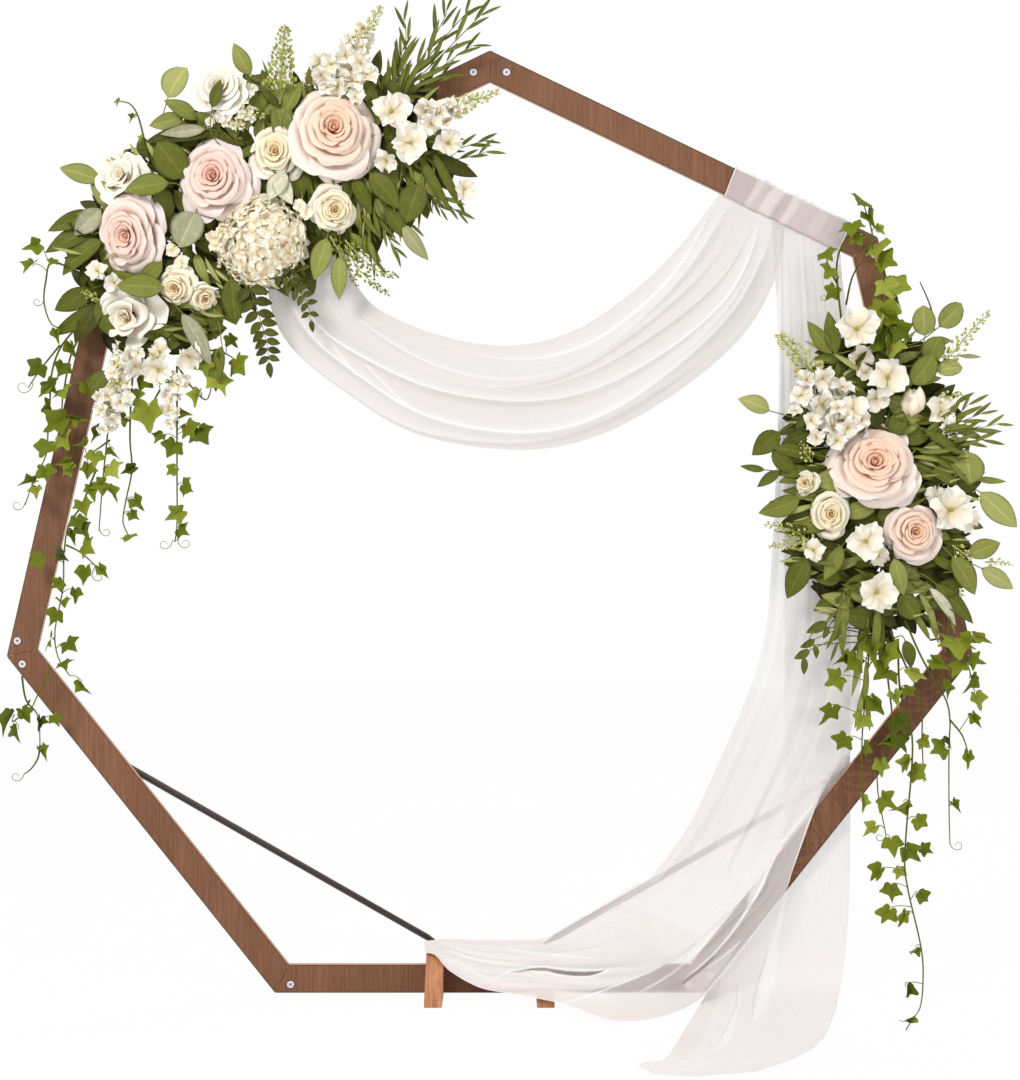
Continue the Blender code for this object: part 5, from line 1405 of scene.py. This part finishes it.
blossoms = Bunch()
for x, y, radius, forward, facing in (
    (391, 112, 21, 0.085, (0.1, -1, 0.1)), (410, 143, 21, 0.09, (0.1, -1, -0.1)),
    (448, 143, 16, 0.08, (0.4, -1, 0.0)),
    (464, 189, 12, 0.065, (0.3, -1, -0.2)), (350, 75, 18, 0.07, (0.1, -1, 0.2)),
    (428, 118, 17, 0.08, (0.4, -1, 0.3)),
    (386, 160, 13, 0.08, (0.0, -1, -0.6)), (98, 271, 11, 0.08, (-0.3, -1, 0)), (114, 282, 10, 0.085, (0, -1, -0.3)),
    (857, 329, 24, 0.09, (0, -1, 0.1)), (860, 355, 14, 0.07, (0.2, -1, -0.5)),
    (887, 378, 21, 0.095, (0.1, -1, 0.1)),
    (876, 398, 14, 0.08, (-0.1, -1, -0.5)), (866, 541, 21, 0.095, (-0.1, -1, 0)),
    (878, 555, 13, 0.085, (0.2, -1, -0.6)),
    (876, 592, 22, 0.09, (0, -1, -0.1)), (950, 510, 24, 0.085, (0.2, -1, 0.1)), (966, 520, 14, 0.07, (0.6, -1, 0)),
    (938, 498, 14, 0.07, (-0.2, -1, 0.5)), (813, 550, 12, 0.08, (-0.2, -1, 0)),
    (940, 412, 17, 0.068, (0.3, -1, 0.3)),
    (948, 428, 12, 0.07, (0.3, -1, -0.2)), (866, 373, 10, 0.07, (-0.3, -1, 0)),
    (158, 369, 16, 0.085, (0, -1, -0.5)),
    (160, 352, 13, 0.07, (-0.3, -1, 0.2)), (189, 356, 15, 0.085, (0.2, -1, -0.9)),
    (168, 392, 9, 0.065, (0.2, -1, -0.7)),
):
    blossom(blossoms, spot(x, y, forward), radius * SQUARE, facing, int(x * 3 + y), 5, 0.26, 0.1, 0.13, 0.9)
rng = np.random.default_rng(41)
for i in range(24):
    facing = unit((rng.normal(0, 0.4), -1, rng.normal(0, 0.4)))
    place = spot(rng.uniform(206, 252), rng.uniform(106, 126), rng.uniform(0.078, 0.09))
    blossom(blossoms, place, rng.uniform(0.01, 0.014), facing, 500 + i, 5, 0.2, 0.14, 0.08, 0.9)
for x, y, radius in (
    (240, 88, 11), (247, 99, 10), (236, 103, 9), (251, 90, 8), (320, 62, 11), (312, 78, 10), (328, 84, 12),
    (340, 98, 10)
):
    facing = unit((rng.normal(0, 0.3), -1, rng.normal(0, 0.3)))
    blossom(blossoms, spot(x, y, 0.072), radius * SQUARE, facing, int(x + y), 5, 0.25, 0.1, 0.12, 0.9)
blossoms.made("white_blossoms", flower_white, "white_petals", "left_foliage", "right_foliage")


def stock_head(bunch, route, wide, narrow, count, seed, size=0.034):
    """Ruffled florets crowded round a stem, smaller towards its tip."""
    rng = np.random.default_rng(seed)
    path = path_of(route, 40)
    for i in range(count):
        share = (i + rng.uniform(0, 1)) / count
        at_step = min(int(share * 38), 38)
        ahead = unit(path[at_step + 1] - path[at_step])
        side = unit(np.cross(ahead, FORWARD))
        angle = 2.4 * i
        out = side * math.cos(angle) + FORWARD * (0.55 + 0.55 * math.sin(angle)) + ahead * 0.3
        out = unit(out + rng.normal(0, 0.15, 3))
        spread = wide + (narrow - wide) * share
        grown = size * (1 - 0.3 * share) * rng.uniform(0.8, 1.15)
        blossom(bunch, path[at_step] + out * spread, grown, out, seed + i, 5, 0.25, 0.1, 0.16, 0.9)


def florets(bunch, forward, *places):
    """Open florets of a stock head: where each stands and its radius, in squares."""
    rng = np.random.default_rng(len(places))
    for x, y, radius in places:
        facing = unit((rng.normal(0, 0.5), -1, rng.normal(0, 0.5)))
        radius *= rng.uniform(0.85, 1.3)
        place = spot(x, y, forward + rng.uniform(0, 0.012))
        blossom(bunch, place, radius * SQUARE, facing, int(7 * x + y), 5, 0.2, 0.1, 0.1, 0.95)


stocks = Bunch()
stock_head(stocks, ((336, 92, 0.068), (346, 68, 0.07), (357, 46, 0.07), (364, 32, 0.068)), 0.03, 0.012, 12, 210)
florets(
    stocks, 0.098, (352, 81, 14), (331, 64, 12), (321, 75, 11), (345, 55, 12), (360, 63, 11), (338, 86, 12),
    (350, 41, 9), (362, 47, 9), (327, 88, 9), (367, 75, 10), (355, 97, 10)
)
stocks.made("left_stock_head", flower_white, "white_petals", "left_stock_spike")
hanging = Bunch()
stock_head(
    hanging, ((128, 352, 0.068), (122, 374, 0.068), (115, 400, 0.066), (112, 426, 0.062)), 0.024, 0.008, 16, 260,
    size=0.026
)
florets(
    hanging, 0.09, (120, 358, 10), (134, 366, 10), (112, 374, 10), (127, 383, 9), (107, 396, 10), (120, 402, 9),
    (101, 410, 8), (112, 419, 8), (103, 429, 7), (138, 352, 9), (98, 396, 7), (128, 398, 7)
)
stock_head(
    hanging, ((182, 370, 0.062), (180, 385, 0.062), (172, 405, 0.06), (170, 424, 0.058)), 0.012, 0.008, 5, 330,
    size=0.022
)
florets(hanging, 0.074, (178, 384, 8), (171, 399, 7), (177, 413, 6), (169, 424, 5))
hanging.made("left_hanging_stock", flower_white, "white_petals", "left_foliage")
larkspur = Bunch()
stock_head(larkspur, ((418, 124, 0.07), (436, 114, 0.07), (456, 106, 0.07)), 0.022, 0.012, 6, 350, size=0.028)
florets(
    larkspur, 0.092, (428, 106, 10), (440, 113, 11), (450, 103, 9), (431, 123, 10), (447, 122, 8), (459, 109, 7)
)
larkspur.made("left_delphinium_florets", flower_white, "white_petals", "left_delphinium_spike")
cluster = Bunch()
stock_head(cluster, ((840, 428, 0.062), (826, 404, 0.064), (814, 384, 0.064)), 0.042, 0.03, 14, 390, size=0.036)
stock_head(cluster, ((858, 434, 0.068), (850, 412, 0.068), (842, 396, 0.068)), 0.022, 0.014, 5, 460, size=0.032)
florets(
    cluster, 0.11, (822, 378, 11), (801, 396, 12), (822, 405, 14), (842, 388, 12), (853, 409, 12), (831, 426, 12),
    (811, 421, 12), (847, 428, 10), (837, 441, 9), (861, 420, 9),
    (795, 411, 9), (816, 437, 9), (806, 380, 9), (838, 408, 11)
)
cluster.made("right_stock_head", flower_white, "white_petals", "right_stock_cluster")
tips = Bunch()
for route, start, count in (
    (((352, 56, 0.08), (362, 38, 0.08), (372, 22, 0.074), (380, 8, 0.068)), 0.028, 70),
    (((445, 112, 0.076), (462, 105, 0.076), (480, 98, 0.072), (497, 92, 0.066)), 0.028, 62),
    (((822, 386, 0.084), (806, 366, 0.082), (792, 349, 0.076), (780, 336, 0.068)), 0.044, 110),
    (((345, 84, 0.09), (336, 70, 0.092), (352, 60, 0.09)), 0.018, 20),
    (((124, 352, 0.088), (118, 376, 0.088), (112, 404, 0.082), (108, 428, 0.076)), 0.026, 70),
    (((150, 352, 0.08), (160, 366, 0.08), (172, 386, 0.076)), 0.016, 24),
    (((240, 118, 0.08), (250, 112, 0.08), (262, 116, 0.078)), 0.02, 26),
    (((228, 116, 0.08), (236, 124, 0.08), (246, 126, 0.078)), 0.018, 22),
):
    bud_sprig(tips, route, start, 0.0115, count, 0.72)
tips.made("bud_tips", bud_green, "white_petals", "left_delphinium_spike", "left_stock_spike", "right_stock_cluster")
nosegay = Bunch()
bloom(nosegay, spot(951, 508, ROSE_BACK), 20 * SQUARE, 0.03, 10, 97, (0.2, -1, 0.1), 0.1)
nosegay.made("right_white_rose_bloom", white, "white_petals", "right_white_rose")

# Ivy
# Moulded ivy on thin plastic stems. The leaves have three to five points and a pale rib to each, and
# the stems end in curled tendrils. They hang from the swags in front of the boards.
IVY_TURNS = np.radians((0, 10, 24, 42, 60, 70, 84, 104, 122, 142, 166, 180))
IVY_REACH = np.array((1.0, 0.8, 0.62, 0.58, 0.8, 0.98, 0.72, 0.56, 0.62, 0.52, 0.3, 0.12))


def ivy_leaf(bunch, base, ahead, size, tone, seed):
    """A lobed leaf whose stalk joins it at base and whose middle point lies ahead."""
    rng = np.random.default_rng(seed)
    ahead = unit(ahead)
    toward = unit(np.array((rng.normal(0, 0.55), -1, rng.normal(0, 0.35))))
    toward = unit(toward - ahead * (toward @ ahead))
    side = np.cross(ahead, toward)
    turns = np.linspace(-np.pi, np.pi, 49)
    fold = rng.choice((0.15, 0.4, 0.7, 1.05))
    reach = np.interp(np.abs(turns), IVY_TURNS, IVY_REACH * rng.uniform(0.88, 1.12, len(IVY_TURNS)))
    reach = reach * np.where(turns > 0, rng.uniform(0.82, 1.08), rng.uniform(0.82, 1.08))
    rings = np.linspace(0, 1, 4)[:, None]
    x, y = rings * reach * np.sin(turns), rings * reach * np.cos(turns)
    high = np.abs(x) * math.sin(fold) + 0.07 * np.cos(6.0 * turns) * rings ** 2 * reach - 0.28 * (rings * reach) ** 2
    x = x * math.cos(fold)
    middle = np.array(base) + ahead * size * 0.2
    grid = middle + size * 0.72 * (side * x[..., None] + ahead * y[..., None] + toward * (high + 0.1)[..., None])
    bunch.add(grid, tone)


ivy_green = petal_finish(
    "ivy_green", (0.0, (0.048, 0.066, 0.005)), (0.35, (0.105, 0.14, 0.008)), (0.65, (0.178, 0.222, 0.015)),
    (1.0, (0.335, 0.38, 0.06)), glow=0.0, shine=0.1,
)


def curl(start, way, size):
    """The points of a tendril, which bends into an open hook."""
    points = []
    for i in range(15):
        share = i / 14
        angle = 0.95 * 2 * math.pi * share ** 1.3
        radius = size * (1 - 0.62 * share)
        across, up = way * (size - radius * math.cos(angle)), -size * 0.5 * share - radius * math.sin(angle)
        points.append(Vector(start) + Vector((across, -0.004 * share, up)))
    return points


def ivy(name, stems, leaves, node, tendrils=(), shade=0.52, forward=0.058):
    """Stems along routes of squares, each leaf on a stalk from the nearest point of a stem."""
    bunch = Bunch()
    rng = np.random.default_rng(int(leaves[0][0] * 7 + leaves[0][1]))
    places = []
    for route in stems:
        points = [spot(x, y, (rest or [forward])[0]) for x, y, *rest in route]
        stalk(bunch, points, 0.005, rng.uniform(0.1, 0.4), 6, 0.5)
        places.extend(refine([tuple(point) for point in points], 10 * len(points)))
    for x, y, *rest in leaves:
        size = (rest[0] if rest else 21) * SQUARE
        middle = np.array(spot(x, y, forward + rng.uniform(0.0, 0.014)))
        root = min(places, key=lambda place: np.linalg.norm(place - middle))
        away = middle - root
        far = np.linalg.norm(away)
        ahead = np.array((0, 0, -1.0))
        if far > 0.004:
            ahead = unit(unit(away) * 0.8 + np.array((0, -0.2, -0.9)) + rng.normal(0, 0.3, 3))
        base = middle - ahead * size * 0.35
        if np.linalg.norm(base - root) > 0.008:
            bend = (root + base) / 2 + np.array((0, -0.004, 0.004))
            stalk(bunch, (root, bend, base, base + ahead * size * 0.2), 0.0022, 0.55, 5, 0.8)
        ivy_leaf(bunch, base, ahead, size, np.clip(rng.normal(shade, 0.2), 0.05, 0.98), int(x * 11 + y))
    for x, y, way, size in tendrils:
        hook = curl(spot(x, y, forward), way, size * SQUARE)
        root = min(places, key=lambda place: np.linalg.norm(place - np.array(hook[0])))
        if np.linalg.norm(root - np.array(hook[0])) > 0.004:
            hook = [Vector(root), (Vector(root) + hook[0]) / 2 + Vector((0, -0.003, 0.003))] + hook
        stalk(bunch, hook, 0.0022, 0.6, 5, 0.5)
    bunch.made(name, ivy_green, "ivy", node)


ivy(
    "left_ivy_far", (
        ((86, 318), (62, 345), (52, 372), (50, 400), (48, 430), (46, 455), (34, 480), (25, 505)),
        ((84, 330), (72, 352), (66, 378), (62, 408), (66, 440), (70, 470)),
        ((60, 345), (40, 370), (28, 388)),
        ((78, 272), (52, 262), (46, 280), (44, 302), (50, 322), (58, 328)),
        ((150, 160), (145, 142), (138, 116), (130, 104), (119, 101)),
    ),
    (
        (133, 119, 13), (126, 154, 15), (119, 103, 10), (142, 140, 11), (52, 262, 12),
        (37, 369), (61, 369), (51, 386), (64, 393), (46, 408, 22), (58, 424, 34), (78, 417, 22), (90, 391, 26),
        (45, 448), (63, 462), (46, 473), (28, 484), (37, 492, 17), (33, 246), (30, 268), (74, 350, 26),
        (66, 440, 26),
        (44, 392, 18), (70, 470, 18), (58, 336, 20),
    ), "left_ivy_outer", tendrils=((33, 384, -1, 9), (25, 503, -1, 7), (44, 300, -1, 6)),
)
ivy(
    "left_ivy_hanging", (
        ((134, 360), (131, 400), (130, 440), (132, 470), (126, 500), (123, 522), (130, 538)),
        ((128, 372), (112, 405), (106, 450), (102, 490), (99, 531)),
        ((110, 440), (96, 450), (86, 456)),
    ),
    (
        (81, 447, 24), (95, 458), (97, 434), (115, 452), (99, 484, 20), (113, 470), (111, 494), (129, 470),
        (138, 503, 20),
        (129, 538, 20), (120, 420, 20), (104, 412, 22), (88, 470, 18), (133, 400, 24), (148, 380, 22),
        (134, 515, 14),
    ), "left_ivy_middle", tendrils=((100, 530, 1, 6),),
)
ivy(
    "left_ivy_inside", (
        ((177, 366), (177, 400), (177, 440), (177, 480), (177, 522), (175, 542)),
        ((178, 366), (190, 385), (206, 400), (212, 384)),
        ((205, 350), (222, 352), (236, 360)),
        ((160, 390), (152, 404), (150, 410)),
    ),
    (
        (150, 416, 36), (172, 449, 24), (172, 471, 16), (187, 487, 20), (176, 514, 22), (182, 531, 16),
        (202, 434, 26),
        (199, 399, 24), (219, 383, 24), (222, 359, 24), (240, 365, 26), (186, 412, 24), (165, 380, 20),
        (206, 366, 22),
        (232, 340, 18), (190, 430, 22), (160, 438, 16),
    ), "left_ivy_inner", tendrils=((172, 542, -1, 7), (178, 541, 1, 7)),
)
ivy(
    "left_ivy_inner_fall", (
        ((96, 470), (88, 490), (81, 507), (69, 524), (64, 552), (63, 588), (55, 630), (58, 657), (70, 676)),
        ((66, 545), (80, 552), (96, 566)),
        ((22, 676), (26, 700), (38, 716), (40, 745)),
        ((50, 668), (40, 690), (30, 712)),
        ((30, 700), (20, 716), (12, 722)),
        ((40, 745), (38, 758), (31, 769), (24, 774)),
    ),
    (
        (84, 508, 22), (79, 523), (85, 531, 24), (66, 554, 24), (87, 548, 20), (85, 574, 22), (103, 571, 20),
        (75, 595, 18),
        (63, 604), (54, 616), (52, 641), (71, 646, 20), (64, 665, 18), (84, 685, 22), (37, 561, 22), (10, 722, 26),
        (19, 733), (25, 715), (39, 724), (55, 720, 16), (43, 754, 22), (92, 492, 22), (74, 536, 18), (58, 584, 16),
    ), "left_ivy_long", tendrils=((24, 774, -1, 7), (92, 575, 1, 6)),
)
ivy(
    "right_ivy_top", (
        ((842, 325), (838, 290), (837, 262), (845, 240), (860, 232), (872, 246), (877, 275), (871, 306)),
        ((862, 252), (872, 240), (870, 224), (864, 206)),
        ((846, 305), (852, 278), (862, 262), (874, 262)),
        ((884, 330), (882, 300), (884, 272), (878, 245)),
        ((886, 300), (896, 290)), ((934, 330), (931, 308), (920, 282)), ((838, 285), (830, 270), (826, 256)),
    ),
    (
        (861, 202, 26), (871, 220, 26), (852, 229, 24), (827, 255, 20), (828, 273, 22), (831, 292, 20),
        (878, 250, 30),
        (887, 262, 26), (900, 287, 24), (888, 288, 26), (884, 312, 32), (892, 336, 44), (886, 352, 38),
        (902, 332, 26),
        (889, 366, 34), (880, 334, 30), (858, 240, 18), (880, 230, 16), (893, 320, 30), (898, 300, 16),
    ), "right_foliage", tendrils=((829, 296, -1, 5),), shade=0.64,
)
ivy(
    "right_ivy_hanging", (
        ((905, 620), (918, 650), (930, 673), (946, 700), (950, 722), (949, 747), (949, 806), (950, 844)),
        ((930, 640), (950, 640), (966, 660), (974, 690)),
        ((950, 720), (962, 735), (968, 752)),
        ((890, 630), (905, 664), (921, 700), (922, 740), (924, 782)),
    ),
    (
        (939, 750, 22), (968, 759, 20), (956, 807, 20), (940, 664, 28), (956, 646, 30), (968, 682, 24),
        (977, 700, 20),
        (976, 719, 20), (980, 638, 22), (950, 620, 24), (944, 690, 22), (968, 640, 22), (958, 668, 24),
        (926, 742, 18),
        (950, 742, 18), (976, 660, 18),
    ), "right_ivy_short", tendrils=((950, 843, 1, 7),), shade=0.68,
)
ivy(
    "right_ivy_trailing", (
        (
            (898, 640, 0.062), (900, 690, 0.064), (911, 729, 0.066), (912, 765, 0.068), (906, 835, 0.072),
            (906, 879, 0.078),
            (921, 947, 0.09), (923, 982, 0.11), (920, 1008, 0.15), (912, 1020, 0.24), (906, 1030, 0.33),
        ),
        ((882, 620), (888, 680), (892, 730), (877, 776), (886, 835)),
        ((870, 640), (866, 690), (862, 740), (862, 800)),
    ),
    (
        (908, 763, 22), (918, 774), (887, 801), (900, 804), (921, 821, 20), (892, 845), (911, 852), (878, 873, 24),
        (892, 891), (922, 896), (887, 914, 22), (903, 918), (914, 948), (906, 990, 22), (861, 804), (871, 830),
        (881, 767, 20),
        (839, 657, 24), (834, 680, 26), (828, 712, 24), (843, 742, 20), (883, 674, 30), (877, 704, 28),
        (900, 724, 24),
        (900, 742, 20), (862, 640, 30), (874, 656, 30), (890, 655, 26), (852, 662, 24), (896, 700, 24),
        (908, 690, 22),
        (916, 672, 24), (860, 722, 22), (884, 742, 20), (868, 748, 20), (908, 1020, 20), (926, 850, 16),
        (898, 872, 16),
    ), "right_ivy_long", tendrils=((886, 835, -1, 6),), shade=0.68,
)

# Studio
# A plain white floor and backdrop, which show as white, with soft light from the front and both sides.
# The eye stands where the front view is laid out from.
def looked_at(kit, links):
    """1 where the eye sees a thing, straight on or by way of a gloss or a sheer cloth, and otherwise 0."""
    rays = kit.new("ShaderNodeLightPath")
    seen = sum_node(kit, links, "MAXIMUM", rays.outputs["Is Camera Ray"], rays.outputs["Is Glossy Ray"])
    return sum_node(kit, links, "MAXIMUM", seen, rays.outputs["Is Transmission Ray"])


def studio_white():
    finish, kit, links, shader = new_finish("studio_white")
    grain = mottle(kit, links, 3.0, 2.0)
    links.new(
        ramp(kit, links, grain, (0.3, (0.9, 0.9, 0.9)), (0.7, (0.93, 0.93, 0.93))), shader.inputs["Base Color"]
    )
    shader.inputs["Roughness"].default_value = 0.9
    glow = kit.new("ShaderNodeEmission")
    glow.inputs["Color"].default_value = (1.0, 1.0, 1.0, 1.0)
    glow.inputs["Strength"].default_value = 1.0
    share = sum_node(kit, links, "MULTIPLY", looked_at(kit, links), 0.965)
    both = kit.new("ShaderNodeMixShader")
    links.new(share, both.inputs[0])
    links.new(shader.outputs["BSDF"], both.inputs[1])
    links.new(glow.outputs["Emission"], both.inputs[2])
    links.new(both.outputs["Shader"], kit["Material Output"].inputs["Surface"])
    return finish


ground = bmesh.new()
REACH = 9
corners = [ground.verts.new((x * REACH, y * REACH, 0)) for x, y in ((-1, -1), (1, -1), (1, 1), (-1, 1))]
ground.faces.new(corners)
floor_mesh = bpy.data.meshes.new("studio_floor")
ground.to_mesh(floor_mesh)
ground.free()
floor_mesh.materials.append(studio_white())
floor = bpy.data.objects.new("studio_floor", floor_mesh)
bpy.context.scene.collection.objects.link(floor)

world = bpy.data.worlds.new("studio_world")
world.use_nodes = True
bpy.context.scene.world = world
sky, wires = world.node_tree.nodes, world.node_tree.links
dome = sky["Background"]
dome.inputs["Color"].default_value = (1.0, 1.0, 1.0, 1.0)
AMBIENT = 0.55
rest = sum_node(sky, wires, "MULTIPLY", looked_at(sky, wires), 1 - AMBIENT)
wires.new(sum_node(sky, wires, "ADD", rest, AMBIENT), dome.inputs["Strength"])


def lamp(name, place, target, size, power):
    light = bpy.data.lights.new(name, "AREA")
    light.shape = "DISK"
    light.size = size
    light.energy = power
    stand = bpy.data.objects.new(name, light)
    stand.location = place
    stand.rotation_euler = (Vector(target) - Vector(place)).to_track_quat("-Z", "Y").to_euler()
    bpy.context.scene.collection.objects.link(stand)


lamp("key_lamp", (-2.6, -4.2, 4.2), (0, 0, 1.1), 1.6, 165)
lamp("fill_lamp", (3.4, -4.0, 1.8), (0, 0, 1.0), 2.4, 45)
lamp("back_lamp", (1.5, 4.0, 3.6), (0, 0, 1.1), 2.0, 60)

scene = bpy.context.scene
scene.view_settings.view_transform = "Standard"
eye = bpy.data.cameras.new("front_eye")
SENSOR, PICTURE_HEIGHT = 36.0, 1080
eye.sensor_width = SENSOR
eye.lens = SENSOR * EYE_AWAY / (PICTURE_HEIGHT * SQUARE)
eye_stand = bpy.data.objects.new("front_eye", eye)
eye_stand.location = (EYE_X, -BOARD_FACE - EYE_AWAY, EYE_Z)
eye_stand.rotation_euler = (math.pi / 2, 0.0, 0.0)
scene.collection.objects.link(eye_stand)
scene.camera = eye_stand
